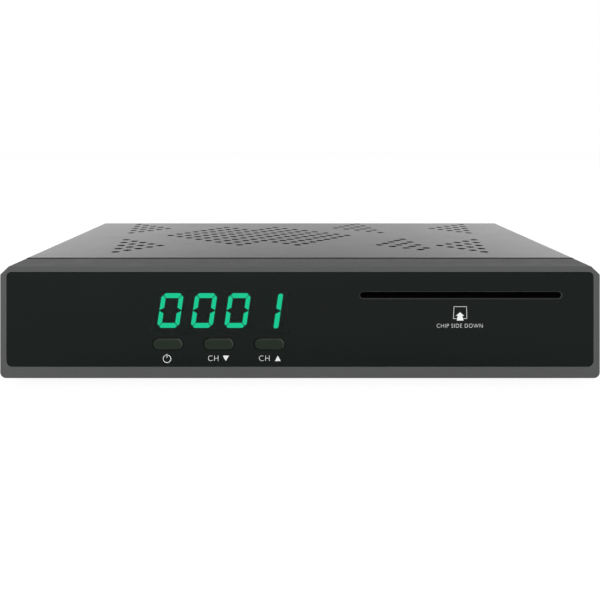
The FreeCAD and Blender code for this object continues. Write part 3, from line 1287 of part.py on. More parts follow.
# ---- All nodes ---------------------------------------------------------------------------------
def nodes():
    """Every piece by its name."""
    video = (VIDEO_X, VIDEO_WIDTH, VIDEO_HEIGHT, VIDEO_LENGTH, VIDEO_WALL)
    service = (SERVICE_X, SERVICE_WIDTH, SERVICE_HEIGHT, SERVICE_LENGTH, SERVICE_WALL)
    shapes = {
        "front_bezel": front_bezel(),
        "front_plate": front_plate(),
        "plate_film": plate_film(),
        "display_body": display_body(),
        "display_lit_segments": display_segments(True),
        "display_dark_segments": display_segments(False),
        "front_board": front_board(),
        "front_board_screws": front_board_screws(),
        "ir_receiver": ir_receiver(),
        "ribbon_headers": ribbon_headers(),
        "front_ribbon": front_ribbon(),
        "top_cover": top_cover(),
        "chassis_tray": chassis_tray(),
        "cover_screws": cover_screws(),
        "bezel_screws": bezel_screws(),
        "main_board": main_board(),
        "board_screws": board_screws(),
        "processor": processor(),
        "heatsink": heatsink(),
        "memory_chips": memory_chips(),
        "crystal": crystal(),
        "capacitors": capacitors(),
        "inductors": inductors(),
        "tuner_can": tuner_can(),
        "antenna_connector": antenna_connector(),
        "antenna_insulator": antenna_insulator(),
        "antenna_washer": antenna_washer(),
        "antenna_nut": antenna_nut(),
        "reader_base": reader_base(),
        "reader_lid": reader_lid(),
        "reader_contacts": reader_contacts(),
        "reader_board": reader_board(),
        "reader_spacers": reader_spacers(),
        "reader_header": reader_header(),
        "av_socket": av_socket(),
        "audio_jack": audio_jack(),
        "audio_ring": audio_ring(),
        "video_socket": socket_shell(*video, VIDEO_CORNER),
        "video_tongue": socket_tongue(*video, VIDEO_TONGUE_WIDTH, VIDEO_TONGUE_HEIGHT, VIDEO_CORNER),
        "service_socket": socket_shell(*service),
        "service_tongue": socket_tongue(*service, SERVICE_TONGUE_WIDTH, SERVICE_TONGUE_HEIGHT),
        "power_jack": power_jack(),
        "power_pin": power_pin(),
    }
    for name, x in KEYS.items():
        shapes[name + "_button"] = key(x)
        shapes[name + "_plunger"] = plunger(x)
        shapes[name + "_switch"] = switch_body(x)
    foot_x = BEZEL_HALF - FOOT_INSET_X
    for side, x in (("left", -foot_x), ("right", foot_x)):
        shapes["foot_front_" + side] = foot(x, FOOT_FRONT_DEPTH)
        shapes["foot_rear_" + side] = foot(x, FOOT_REAR_DEPTH)
    return shapes


os.makedirs("parts", exist_ok=True)
for node, shape in nodes().items():
    shape.exportStep(os.path.join("parts", node + ".step"))
    print(node, len(shape.Solids), "solids, volume", round(shape.Volume, 1), "valid", shape.isValid())
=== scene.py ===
# %% [markdown]
# # A satellite television receiver, dressed for its picture
# The solids come from the CAD model: the front, the cover, the tray, the boards and the sockets.
# This lesson gives each of them a finish built from nodes, and adds what is too fine for CAD:
# the print on the front plate, turned screw heads, a real thread, contacts and grooved feet.
# Everything is in metres. X runs along the front, Z is up and the front faces -Y.

# %% Load the fixed frame
import json
import math
import bmesh
import bpy
from mathutils import Matrix, Vector


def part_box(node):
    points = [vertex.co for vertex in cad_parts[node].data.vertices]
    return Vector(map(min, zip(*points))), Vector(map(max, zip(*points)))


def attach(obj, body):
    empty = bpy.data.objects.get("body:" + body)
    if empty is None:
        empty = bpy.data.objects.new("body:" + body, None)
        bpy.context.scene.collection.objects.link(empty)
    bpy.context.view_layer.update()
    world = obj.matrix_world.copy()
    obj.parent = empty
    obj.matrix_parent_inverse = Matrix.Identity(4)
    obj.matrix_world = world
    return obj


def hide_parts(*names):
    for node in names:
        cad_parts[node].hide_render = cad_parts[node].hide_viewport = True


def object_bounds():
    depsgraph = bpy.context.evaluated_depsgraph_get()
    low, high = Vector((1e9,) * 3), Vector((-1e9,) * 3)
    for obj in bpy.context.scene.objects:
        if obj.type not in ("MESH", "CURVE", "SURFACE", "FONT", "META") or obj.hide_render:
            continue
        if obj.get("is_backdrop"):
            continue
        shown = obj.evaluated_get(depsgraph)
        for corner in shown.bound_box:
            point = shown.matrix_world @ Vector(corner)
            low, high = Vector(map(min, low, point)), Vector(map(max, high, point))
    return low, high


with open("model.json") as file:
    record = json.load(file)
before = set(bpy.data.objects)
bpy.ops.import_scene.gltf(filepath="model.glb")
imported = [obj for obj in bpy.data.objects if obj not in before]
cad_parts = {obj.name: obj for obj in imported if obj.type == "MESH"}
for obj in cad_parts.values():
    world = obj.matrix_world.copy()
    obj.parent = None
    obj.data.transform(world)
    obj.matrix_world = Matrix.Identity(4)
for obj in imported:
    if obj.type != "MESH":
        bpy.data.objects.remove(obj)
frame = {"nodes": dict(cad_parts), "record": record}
nodes = frame["nodes"]
case_low, case_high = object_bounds()
MM = 0.001
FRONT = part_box("front_plate")[0].y
for plain in bpy.data.materials:
    plain.name = "plain_" + plain.name
print(len(nodes), "nodes; the front plane is at", round(FRONT / MM, 2), "mm")

# %% [markdown]
# ## Camera
# The receiver fills the picture from side to side, and its upright edges stay parallel. A real
# photographer gets that with a shift lens: the camera looks level, and the lens is shifted down.
# Tilting the camera instead would make the sides lean together.

# %% Set up the camera
def new_object(name, data):
    """An object that shows a mesh, a lamp, a text or a camera."""
    thing = bpy.data.objects.new(name, data)
    bpy.context.scene.collection.objects.link(thing)
    return thing


CAMERA_PLACE = (0.0, -0.25105, 0.07024)
LENS_MM = 42.13
SENSOR_MM = 36.0
LENS_SHIFT = -0.2717
camera_data = bpy.data.cameras.new("camera")
camera_data.lens = LENS_MM
camera_data.sensor_width = SENSOR_MM
camera_data.shift_y = LENS_SHIFT
camera = new_object("camera", camera_data)
camera.location = CAMERA_PLACE
camera.rotation_euler = (math.radians(90.0), 0.0, 0.0)
bpy.context.scene.camera = camera
bpy.context.scene.view_settings.view_transform = "Standard"
print("camera at", CAMERA_PLACE)

# %% [markdown]
# ## Helpers for nodes
# A material is a small machine of nodes, and so are the room and the shapes that grow further
# down. These helpers add one node at a time and say what it does in plain words. Each takes the
# owner of the nodes first: a material, the world, or a bare node tree.


# %% Add and join nodes
def tree_of(owner):
    """The node tree of a material or a world, or the tree itself."""
    return getattr(owner, "node_tree", owner)


def join(owner, output, target):
    tree_of(owner).links.new(output, target)


def new_node(owner, kind, values=None):
    """Adds a node; each input, by name or number, gets a plain value or another node's output."""
    node = tree_of(owner).nodes.new(kind)
    for name, value in (values or {}).items():
        if isinstance(value, bpy.types.NodeSocket):
            join(owner, value, node.inputs[name])
        else:
            node.inputs[name].default_value = value
    return node


def add(owner, kind, values=None):
    """Adds a node of the kind that shaders use."""
    return new_node(owner, "ShaderNode" + kind, values)


def numbers(owner, operation, first, second=0.0):
    """One sum; each side is a number or an output."""
    node = add(owner, "Math", {0: first, 1: second})
    node.operation = operation
    return node.outputs["Value"]


def times(owner, first, second):
    return numbers(owner, "MULTIPLY", first, second)


def ramp(owner, field, low, high, start, end):
    """Maps the range start..end of a field to low..high."""
    step = {"Value": field, "From Min": start, "From Max": end, "To Min": low, "To Max": high}
    return add(owner, "MapRange", step).outputs["Result"]


def choose_number(owner, switch, off, on):
    """A number when a switch is 0, another one when it is 1."""
    return add(owner, "Mix", {0: switch, 2: off, 3: on}).outputs[0]


def one_part(owner, vector, axis):
    """The X, Y or Z of a vector."""
    return add(owner, "SeparateXYZ", {"Vector": vector}).outputs[axis]


# %% Start a material
def shader_of(finish):
    return finish.node_tree.nodes["Principled BSDF"]


def new_finish(name, colour, roughness, others=None):
    """A material with one Principled shader and plain starting values."""
    finish = bpy.data.materials.new(name)
    finish.use_nodes = True
    values = {"Base Color": (*colour, 1.0), "Roughness": roughness, **(others or {})}
    for label, value in values.items():
        shader_of(finish).inputs[label].default_value = value
    return finish


def set_to(finish, name, output):
    join(finish, output, shader_of(finish).inputs[name])


def blend_shaders(finish, amount, first, second):
    """What the material gives out: two shaders, blended by an amount."""
    blend = add(finish, "MixShader", {0: amount, 1: first, 2: second})
    join(finish, blend.outputs["Shader"], finish.node_tree.nodes["Material Output"].inputs["Surface"])


# %% [markdown]
# ## Studio
# A white room and three wide lamps. The lens must see pure white behind the object, yet that much
# light from all round would wash its shades out. A Light Path node keeps the three apart: what
# the lens sees, what shiny surfaces mirror, and the soft light that falls on the object. What
# they mirror is a bright band at the foot of the walls, as of lit screens that stand round the
# table. Its upper edge rises to both sides, so it bends round the object as a paper sweep does.

# %% The room
ROOM_LEVEL = 0.36
MIRRORED_LOW = 1.25
MIRRORED_HIGH = 0.05
BAND_TOP = 0.05
DARK_FROM = 0.22
BAND_RISE = 0.5
world = bpy.data.worlds.new("white_room")
world.use_nodes = True
bpy.context.scene.world = world

gaze = add(world, "TexCoord").outputs["Generated"]
gaze_x = one_part(world, gaze, "X")
band_rise = times(world, times(world, gaze_x, gaze_x), BAND_RISE)
over_band = numbers(world, "SUBTRACT", one_part(world, gaze, "Z"), band_rise)
mirrored = ramp(world, over_band, MIRRORED_LOW, MIRRORED_HIGH, BAND_TOP, DARK_FROM)


def seen_through_lens(owner):
    """1 for what the camera sees, by itself or through clear layers."""
    path = add(owner, "LightPath")
    return numbers(owner, "MAXIMUM", path.outputs["Is Camera Ray"], path.outputs["Is Transmission Ray"])


is_mirrored = add(world, "LightPath").outputs["Is Glossy Ray"]
room_light = choose_number(world, is_mirrored, ROOM_LEVEL, mirrored)
room_light = choose_number(world, seen_through_lens(world), room_light, 1.0)
room_background = world.node_tree.nodes["Background"]
room_background.inputs["Color"].default_value = (1.0, 1.0, 1.0, 1.0)
join(world, room_light, room_background.inputs["Strength"])
print("room light", ROOM_LEVEL)

# %% The floor
FLOOR_HALF = 3.0
FLOOR_PAINT = 0.9
FLOOR_ROUGHNESS = 0.9
FLOOR_GLOW = 0.93
FLOOR_SHARE = 0.16
floor_mesh = bpy.data.meshes.new("floor")
floor_corners = [(x * FLOOR_HALF, y * FLOOR_HALF, 0.0) for x, y in ((-1, -1), (1, -1), (1, 1), (-1, 1))]
floor_mesh.from_pydata(floor_corners, [], [(0, 1, 2, 3)])
floor = new_object("floor", floor_mesh)
floor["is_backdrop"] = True

paper = new_finish("floor_paint", (FLOOR_PAINT,) * 3, FLOOR_ROUGHNESS)
glow = add(paper, "Emission", {"Color": (1.0, 1.0, 1.0, 1.0), "Strength": FLOOR_GLOW})
shadowed = add(paper, "BsdfDiffuse", {"Color": (FLOOR_SHARE,) * 3 + (1.0,)})
lit = add(paper, "AddShader", {0: glow.outputs["Emission"], 1: shadowed.outputs["BSDF"]})
plain_paint = shader_of(paper).outputs["BSDF"]
blend_shaders(paper, seen_through_lens(paper), plain_paint, lit.outputs["Shader"])
floor_mesh.materials.append(paper)
print("floor", 2 * FLOOR_HALF, "m wide")

# %% The lamps
LAMP_SIZE = 0.8
LAMPS = {"front_lamp": ((-0.3, -1.2, 0.5), 9.0),
         "left_back_lamp": ((-1.1, 0.8, 0.8), 4.5),
         "right_back_lamp": ((1.1, 0.8, 0.8), 4.5)}
for lamp_name, (lamp_place, watts) in LAMPS.items():
    lamp_data = bpy.data.lights.new(lamp_name, "AREA")
    lamp_data.size = LAMP_SIZE
    lamp_data.energy = watts
    lamp = new_object(lamp_name, lamp_data)
    lamp.location = lamp_place
    aim = (case_low + case_high) / 2 - Vector(lamp_place)
    lamp.rotation_euler = aim.to_track_quat("-Z", "Y").to_euler()
print(len(LAMPS), "soft lamps")

# %% [markdown]
# ## Helpers for materials
# Real surfaces are never even. Clouds of noise change their shade and gloss a little, and a fine
# relief breaks up what they mirror. All patterns read Object coordinates, so they stay fixed to
# the piece when it moves.


# %% Patterns on Object coordinates
def spot_of(finish, stretch=(1.0, 1.0, 1.0)):
    """Object coordinates, stretched for a pattern."""
    where = add(finish, "TexCoord").outputs["Object"]
    return add(finish, "Mapping", {"Vector": where, "Scale": stretch}).outputs["Vector"]


def cloud(finish, size, detail=3.0, stretch=(1.0, 1.0, 1.0)):
    """Noise whose blobs are about this many metres across."""
    noise = {"Vector": spot_of(finish, stretch), "Scale": 1.0 / size, "Detail": detail}
    return add(finish, "TexNoise", noise).outputs["Fac"]


def cells(finish, size):
    """Random flat cells of about this size in metres."""
    return add(finish, "TexVoronoi", {"Vector": spot_of(finish), "Scale": 1.0 / size}).outputs["Color"]


def along(finish, axis):
    """One Object coordinate, in metres."""
    return one_part(finish, add(finish, "TexCoord").outputs["Object"], axis)


def facing(finish, axis):
    """How far the real face looks along an axis, from -1 to 1."""
    return one_part(finish, add(finish, "NewGeometry").outputs["True Normal"], axis)


def likeness(finish, first, second):
    """How alike two directions are, from -1 to 1; each is a vector or an output."""
    compare = add(finish, "VectorMath", {0: first, 1: second})
    compare.operation = "DOT_PRODUCT"
    return compare.outputs["Value"]


# %% Masks: 1 where something holds, 0 elsewhere
FACING_MARGIN = 0.1
BEVEL_SAMPLES = 4
EDGE_TURNED = 0.75      # how alike the two normals are on a sharp edge
EDGE_FLAT = 0.98        # and where a flat face begins


def inside(finish, axis, low, high, soft):
    """1 between two places on an axis."""
    place = along(finish, axis)
    after = ramp(finish, place, 0.0, 1.0, low, low + soft)
    before = ramp(finish, place, 1.0, 0.0, high - soft, high)
    return times(finish, after, before)


def inside_both(finish, first, second, soft):
    """1 where two ranges hold at once; each is an axis with its low and high end."""
    return times(finish, inside(finish, *first, soft), inside(finish, *second, soft))


def faces_at(finish, axis, value):
    """1 where a face looks along an axis by about this much."""
    near = numbers(finish, "COMPARE", facing(finish, axis), value)
    near.node.inputs[2].default_value = FACING_MARGIN
    return near


def edges(finish, width):
    """1 on edges and corners: how far a rounded normal leaves the real one."""
    soft = add(finish, "Bevel", {"Radius": width})
    soft.samples = BEVEL_SAMPLES
    flat = add(finish, "NewGeometry")
    alike = likeness(finish, soft.outputs["Normal"], flat.outputs["Normal"])
    return ramp(finish, alike, 1.0, 0.0, EDGE_TURNED, EDGE_FLAT)


# %% Turn patterns into colour, gloss and relief
NOISE_LOW = 0.35
NOISE_HIGH = 0.65


def spread(finish, field, low, high):
    """Maps the range that noise really uses to low..high."""
    return ramp(finish, field, low, high, NOISE_LOW, NOISE_HIGH)


def mix(finish, amount, first, second):
    """Blends two colours, each a plain colour or an output."""
    blend = add(finish, "Mix")
    blend.data_type = "RGBA"
    join(finish, amount, blend.inputs[0])
    for value, target in ((first, blend.inputs[6]), (second, blend.inputs[7])):
        if isinstance(value, tuple):
            target.default_value = (*value, 1.0)
        else:
            join(finish, value, target)
    return blend.outputs[2]


def paint(finish, amount, first, second):
    """Gives a material its colour, blended from two."""
    set_to(finish, "Base Color", mix(finish, amount, first, second))


def tinted(colour, factor, added=0.0):
    """A colour made darker or lighter by a factor, and a little paler by what is added."""
    return tuple(min(1.0, factor * part + added) for part in colour)


def relief(finish, field, height):
    """Raises the surface by a field, up to a height in metres."""
    bump = add(finish, "Bump", {"Height": field, "Strength": 1.0, "Distance": height})
    set_to(finish, "Normal", bump.outputs["Normal"])


def uneven(finish, gloss, grain, shades=None):
    """Clouds of roughness, a fine relief and, if given, clouds of two shades."""
    gloss_size, smooth, rough = gloss
    grain_size, detail, height = grain
    set_to(finish, "Roughness", spread(finish, cloud(finish, gloss_size), smooth, rough))
    relief(finish, cloud(finish, grain_size, detail), height)
    if shades:
        shade_size, darker, lighter = shades
        paint(finish, cloud(finish, shade_size), darker, lighter)


# %% [markdown]
# ## Moulded front
# The bezel is moulded in a dark grey plastic. The mould is spark eroded, which leaves a very
# fine even grain that scatters the light. Its edges are painted a little paler, partly as wear
# from handling and partly as a painted highlight. Faces that look up are painted paler, as
# painted light from above, and the walls of the hole behind the card slot are painted black as
# shade. The grain could be displaced into the mesh, but at a tenth of a millimetre a bump is enough.

# %% Bezel plastic
BEZEL_GREYS = ((0.104, 0.106, 0.105), (0.11, 0.112, 0.111))
BEZEL_EDGE_WEAR_AND_HIGHLIGHT = (0.13, 0.132, 0.131)
BEZEL_TOP_LIGHT = (0.15, 0.152, 0.151)
TOP_LIGHT_FACING = (0.3, 0.95)
BEZEL_GRAIN = 0.00018
SLOT_HOLE_X = (0.015, 0.075)
SLOT_HOLE_Z = (0.0243, 0.0275)
SLOT_HOLE_SOFT = 0.0001
NO_LIGHT = (0.0004, 0.0004, 0.0004)
bezel = new_finish("bezel_plastic", (0.107, 0.109, 0.108), 0.5, {"Specular IOR Level": 0.06})
bezel_shade = mix(bezel, cloud(bezel, 0.03, 4.0), *BEZEL_GREYS)
# painted light: faces that look up are painted paler, as light falling from above
painted_top_light = ramp(bezel, facing(bezel, "Z"), 0.0, 1.0, *TOP_LIGHT_FACING)
bezel_shade = mix(bezel, painted_top_light, bezel_shade, BEZEL_TOP_LIGHT)
# edges painted paler: partly wear, partly a painted highlight
bezel_shade = mix(bezel, edges(bezel, 0.0004), bezel_shade, BEZEL_EDGE_WEAR_AND_HIGHLIGHT)
# painted shade: the walls of the hole behind the card slot are painted black
slot_hole_shade = inside_both(bezel, ("X", *SLOT_HOLE_X), ("Z", *SLOT_HOLE_Z), SLOT_HOLE_SOFT)
paint(bezel, slot_hole_shade, bezel_shade, NO_LIGHT)
uneven(bezel, (0.008, 0.44, 0.54), (BEZEL_GRAIN, 2.0, 0.000006))
print("bezel plastic")

# %% [markdown]
# ## Smoked plate
# The plate is clear acrylic, dyed nearly black, with a high gloss. A black print backs it all
# over, except at the display. There a share of clear shader in the mix lets the lit digits glow
# through the dye. Everywhere else the print lets nothing pass, so the shader is solid, which
# also renders faster and cleaner than clear layers over black would. Over the display the plate
# is painted a little greener, as the digits' glow. The card slot's bevel is the polished cut edge,
# and it is painted paler as a highlight. Its walls are painted black, as the shade in a deep slot.

# %% Smoked acrylic
DYE_AT_DISPLAY = 0.82
WINDOW_SOFT = 0.0003
PLATE_SHADE = (0.007, 0.01, 0.009)
WINDOW_GLOW_TINT = (0.0085, 0.0135, 0.0115)
SLOT_BEVEL_HIGHLIGHT = (0.054, 0.06, 0.057)
BEVEL_FACING = -0.7071
WALL_ROUGHNESS = 0.9
plate = new_finish("smoked_acrylic", PLATE_SHADE, 0.12, {"IOR": 1.24})
relief(plate, cloud(plate, 0.012, 1.0), 0.000012)

display_low, display_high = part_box("display_body")
over_display = inside_both(plate, ("X", display_low.x, display_high.x),
                           ("Z", display_low.z, display_high.z), WINDOW_SOFT)
inner_side = add(plate, "NewGeometry").outputs["Backfacing"]
outer_side = numbers(plate, "SUBTRACT", 1.0, inner_side)
dye_there = times(plate, outer_side, DYE_AT_DISPLAY)
dye_level = choose_number(plate, over_display, 1.0, dye_there)

right_half = ramp(plate, along(plate, "X"), 0.0, 1.0, 0.0, WINDOW_SOFT)
on_slot_wall = times(plate, right_half, faces_at(plate, "Y", 0.0))     # the keys' holes are on the left
bevel_highlight_mask = faces_at(plate, "Y", BEVEL_FACING)
# painted light: over the display the plate is painted greener, as the digits' glow
plate_shade = mix(plate, over_display, PLATE_SHADE, WINDOW_GLOW_TINT)
# painted highlight: the slot's bevel is painted paler
plate_shade = mix(plate, bevel_highlight_mask, plate_shade, SLOT_BEVEL_HIGHLIGHT)
# painted shade: the slot's walls are painted black
paint(plate, on_slot_wall, plate_shade, NO_LIGHT)
smudges = spread(plate, cloud(plate, 0.02, 4.0, (1.0, 1.0, 2.5)), 0.09, 0.2)
set_to(plate, "Roughness", choose_number(plate, on_slot_wall, smudges, WALL_ROUGHNESS))

clear = add(plate, "BsdfTransparent", {"Color": (1.0, 1.0, 1.0, 1.0)})
blend_shaders(plate, dye_level, clear.outputs["BSDF"], shader_of(plate).outputs["BSDF"])
print("smoked acrylic")

# %% [markdown]
# ## Display
# Behind the plate lie a printed black film with a window, and the display: a black resin
# block with seven resin bars for each digit. The lit bars give light of their own, so they are
# an emission colour. The others are the same resin with no light behind it.

# %% Film, display shell and bars
SEGMENT_GLOW = (0.0, 0.68, 0.33, 1.0)
SEGMENT_LIGHT = 4.5
film = new_finish("film_print", (0.006, 0.0075, 0.007), 0.6)
uneven(film, (0.004, 0.55, 0.7), (0.002, 2.0, 0.000008),
       (0.0006, (0.0052, 0.0066, 0.0062), (0.0068, 0.0084, 0.0078)))

housing = new_finish("display_shell", (0.006, 0.0075, 0.007), 0.7)
uneven(housing, (0.003, 0.62, 0.78), (0.002, 2.0, 0.000012),
       (0.0009, (0.005, 0.0064, 0.006), (0.007, 0.0086, 0.008)))

segment_lit = new_finish("segment_lit", (0.01, 0.3, 0.15), 0.5,
                         {"Emission Color": SEGMENT_GLOW, "Emission Strength": SEGMENT_LIGHT})
uneven(segment_lit, (0.001, 0.4, 0.6), (0.0015, 3.0, 0.00001))

segment_dark = new_finish("segment_dark", (0.0062, 0.008, 0.0074), 0.6)
uneven(segment_dark, (0.001, 0.55, 0.7), (0.0015, 3.0, 0.000008))
print("display finishes")

# %% [markdown]
# ## Keys
# The three keys are moulded in an olive black plastic with a satin gloss. Their rounded rims
# tell them from the plate: the right rim is painted paler, as a highlight from a side light, and
# the left one is painted dark as shade. The rims are under half a millimetre wide, so no lamp alone
# would draw them at this size. This painted light follows the way each face looks and helps the eye.

# %% Key plastic
KEY_OLIVES = ((0.0162, 0.0244, 0.0162), (0.0182, 0.0272, 0.0182))
KEY_RIM_HIGHLIGHT = (0.075, 0.083, 0.07)
KEY_RIM_SHADE = (0.008, 0.012, 0.008)
KEY_RIM_SIDE = (0.95, 0.0, 0.25)
HIGHLIGHT_TURN = (0.05, 0.5)
SHADE_TURN = (-0.8, -0.1)
keys = new_finish("key_plastic", (0.0172, 0.0258, 0.0172), 0.4, {"Specular IOR Level": 0.12})
# painted light: a highlight on the right rims and shade on the left rims
key_turn = likeness(keys, add(keys, "NewGeometry").outputs["True Normal"], KEY_RIM_SIDE)
painted_rim_highlight = ramp(keys, key_turn, 0.0, 1.0, *HIGHLIGHT_TURN)
painted_rim_shade = ramp(keys, key_turn, 1.0, 0.0, *SHADE_TURN)
key_shade = mix(keys, cloud(keys, 0.002), *KEY_OLIVES)
key_shade = mix(keys, painted_rim_shade, key_shade, KEY_RIM_SHADE)
paint(keys, painted_rim_highlight, key_shade, KEY_RIM_HIGHLIGHT)
uneven(keys, (0.0012, 0.34, 0.46), (0.00012, 2.0, 0.000004))
print("key plastic")

# %% [markdown]
# ## Painted cover
# The cover is sheet steel with a baked grey paint. Such a coat isn't quite flat: it has a soft
# orange peel, under a millimetre across, and tiny flakes. Seen along the surface it
# mirrors the pale room, so the same grey looks lighter towards the back. That comes from the
# shader by itself, and nothing is painted for it. Its edges are painted paler, partly as wear and
# partly as a painted highlight. The walls of the punched vents are painted dark as shade, the
# more so the nearer they are to the front, and the cut edge in the joint behind the bezel is
# painted black as shade.

# %% Cover paint
COVER_GREYS = ((0.1165, 0.1195, 0.1185), (0.1215, 0.1245, 0.1235))
COVER_FLAKE = (0.2, 0.204, 0.203)
FLAKE_FROM = 0.75
FLAKE_STRENGTH = 0.35
COVER_EDGE_WEAR_AND_HIGHLIGHT = (0.17, 0.173, 0.171)
VENT_WALL_SHADES = ((0.004, 0.004, 0.004), (0.1, 0.1, 0.1))
JOINT_SHADE = (0.004, 0.004, 0.004)
CUT_EDGE = 0.0001
VENT_FREE = 0.002
cover = new_finish("cover_paint", (0.12, 0.123, 0.122), 0.2)
cover_shade = mix(cover, cloud(cover, 0.06, 3.0), *COVER_GREYS)
flakes = ramp(cover, cells(cover, 0.00025), 0.0, FLAKE_STRENGTH, FLAKE_FROM, 1.0)
cover_shade = mix(cover, flakes, cover_shade, COVER_FLAKE)
# edges painted paler: partly wear, partly a painted highlight
cover_shade = mix(cover, edges(cover, 0.0003), cover_shade, COVER_EDGE_WEAR_AND_HIGHLIGHT)

cover_low, cover_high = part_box("top_cover")
off_the_edges = inside_both(cover, ("X", cover_low.x + VENT_FREE, cover_high.x - VENT_FREE),
                            ("Y", cover_low.y + VENT_FREE, cover_high.y - VENT_FREE), CUT_EDGE)
# painted shade: the vent walls are painted dark, darkest towards the front
vent_walls = times(cover, off_the_edges, faces_at(cover, "Z", 0.0))
how_far_back = ramp(cover, along(cover, "Y"), 0.0, 1.0, 0.0, cover_high.y)
vent_wall_painted_shade = mix(cover, how_far_back, *VENT_WALL_SHADES)
cover_shade = mix(cover, vent_walls, cover_shade, vent_wall_painted_shade)
# painted shade: the cut edge in the joint behind the bezel is painted black
joint_edge = cover_low.y + CUT_EDGE
joint_shade_mask = ramp(cover, along(cover, "Y"), 1.0, 0.0, joint_edge, joint_edge + CUT_EDGE)
paint(cover, joint_shade_mask, cover_shade, JOINT_SHADE)
uneven(cover, (0.012, 0.195, 0.205), (0.0008, 1.0, 0.000005))
print("cover paint")

# %% [markdown]
# ## Bare metals
# The tray is zinc plated sheet with a faint spangle of flat crystals. The tuner can and the
# small shells are tinned or nickel plated, which is smoother, and the screws are turned from
# plated steel. Metals get their colour from what they mirror, so their grain is mostly in the
# roughness.

# %% Zinc sheet
zinc = new_finish("zinc_sheet", (0.56, 0.57, 0.57), 0.42, {"Metallic": 0.9})
spangle = cells(zinc, 0.006)
paint(zinc, spangle, (0.5, 0.51, 0.515), (0.61, 0.62, 0.62))
set_to(zinc, "Roughness", ramp(zinc, spangle, 0.34, 0.5, 0.0, 1.0))
relief(zinc, cloud(zinc, 0.0012, 4.0, (1.0, 6.0, 1.0)), 0.000006)
print("zinc sheet")

# %% Tin, nickel, screw steel, gold and aluminium
STAIN_SIZE = 8
METAL_EDGE = 0.0002


def plated(name, colour, low, high, grain, stretch=(1.0, 1.0, 1.0)):
    """A metal with drawn grain, faint stains, and paler edges: partly wear, partly painted highlight."""
    finish = new_finish(name, colour, low, {"Metallic": 1.0})
    stains = spread(finish, cloud(finish, STAIN_SIZE * grain, 4.0), 0.0, 1.0)
    stained = mix(finish, stains, tinted(colour, 0.82), colour)
    # edges painted paler: partly wear, partly a painted highlight
    paint(finish, edges(finish, METAL_EDGE), stained, tinted(colour, 1.12))
    set_to(finish, "Roughness", spread(finish, cloud(finish, grain, 3.0, stretch), low, high))
    relief(finish, cloud(finish, grain / 4, 2.0, stretch), 0.000004)
    return finish


tin_plate = plated("tin_plate", (0.6, 0.6, 0.59), 0.28, 0.46, 0.003, (1.0, 5.0, 1.0))
plated_shell = plated("plated_shell", (0.62, 0.61, 0.58), 0.18, 0.32, 0.0015)
screw_steel = plated("screw_steel", (0.44, 0.44, 0.45), 0.26, 0.42, 0.0008)
contact_gold = plated("contact_gold", (0.8, 0.56, 0.18), 0.2, 0.34, 0.0008)
plated("heatsink_aluminium", (0.5, 0.505, 0.51), 0.3, 0.5, 0.002, (8.0, 1.0, 8.0))
print("plated metals")

# %% [markdown]
# ## Resins and rubber
# Connector bodies, chips and insulators are moulded resins. They share one recipe with their
# own colours: a slow change of shade, a finer change of gloss and a fine relief. Rubber is the
# same with more grain and some pale dust.

# %% Moulded resins
RESIN_EDGE = 0.0002
RESIN_GLOSS_CHANGE = 0.07


def moulded(name, colour, roughness, grain, height):
    """A moulded resin with slightly uneven shade and gloss, and edges painted lighter as a highlight."""
    finish = new_finish(name, colour, roughness)
    slow_change = spread(finish, cloud(finish, 0.004, 4.0), 0.0, 1.0)
    shade = mix(finish, slow_change, tinted(colour, 0.88), tinted(colour, 1.1, 0.002))
    # painted highlight: edges are painted lighter
    paint(finish, edges(finish, RESIN_EDGE), shade, tinted(colour, 1.25, 0.01))
    gloss = (0.0015, roughness - RESIN_GLOSS_CHANGE, roughness + RESIN_GLOSS_CHANGE)
    uneven(finish, gloss, (grain, 2.0, height))
    return finish


moulded("black_resin", (0.018, 0.018, 0.019), 0.5, 0.0003, 0.000008)
moulded("white_insulator", (0.78, 0.77, 0.73), 0.42, 0.0004, 0.000006)
moulded("orange_resin", (0.62, 0.16, 0.01), 0.35, 0.0004, 0.000006)
moulded("blue_resin", (0.02, 0.07, 0.3), 0.4, 0.0004, 0.000006)
moulded("ferrite", (0.045, 0.045, 0.048), 0.65, 0.0002, 0.000015)
reader_resin = moulded("reader_resin", (0.002, 0.002, 0.002), 0.75, 0.0003, 0.000008)
shader_of(reader_resin).inputs["Specular IOR Level"].default_value = 0.03
print("moulded resins")

# %% Foot rubber
DUST = (0.1, 0.098, 0.094)
DUST_STRENGTH = 0.5
DUST_PATCHES = (0.55, 0.8)
rubber = moulded("foot_rubber", (0.022, 0.022, 0.022), 0.74, 0.00025, 0.00002)
dust = ramp(rubber, cloud(rubber, 0.0006, 5.0), 0.0, DUST_STRENGTH, *DUST_PATCHES)
clean_rubber = shader_of(rubber).inputs["Base Color"].links[0].from_socket
paint(rubber, dust, clean_rubber, DUST)
print("foot rubber")

# %% [markdown]
# ## Boards, cans and ribbon
# The boards have green solder resist over copper tracks, which show as slightly raised, paler
# lines. A brick pattern run through a noise mask gives straight tracks that start and stop.
# The capacitors have a dark sleeve with a bare aluminium top, split by height, and the ribbon
# has one rib for each wire, with painted shade in the grooves between the ribs.

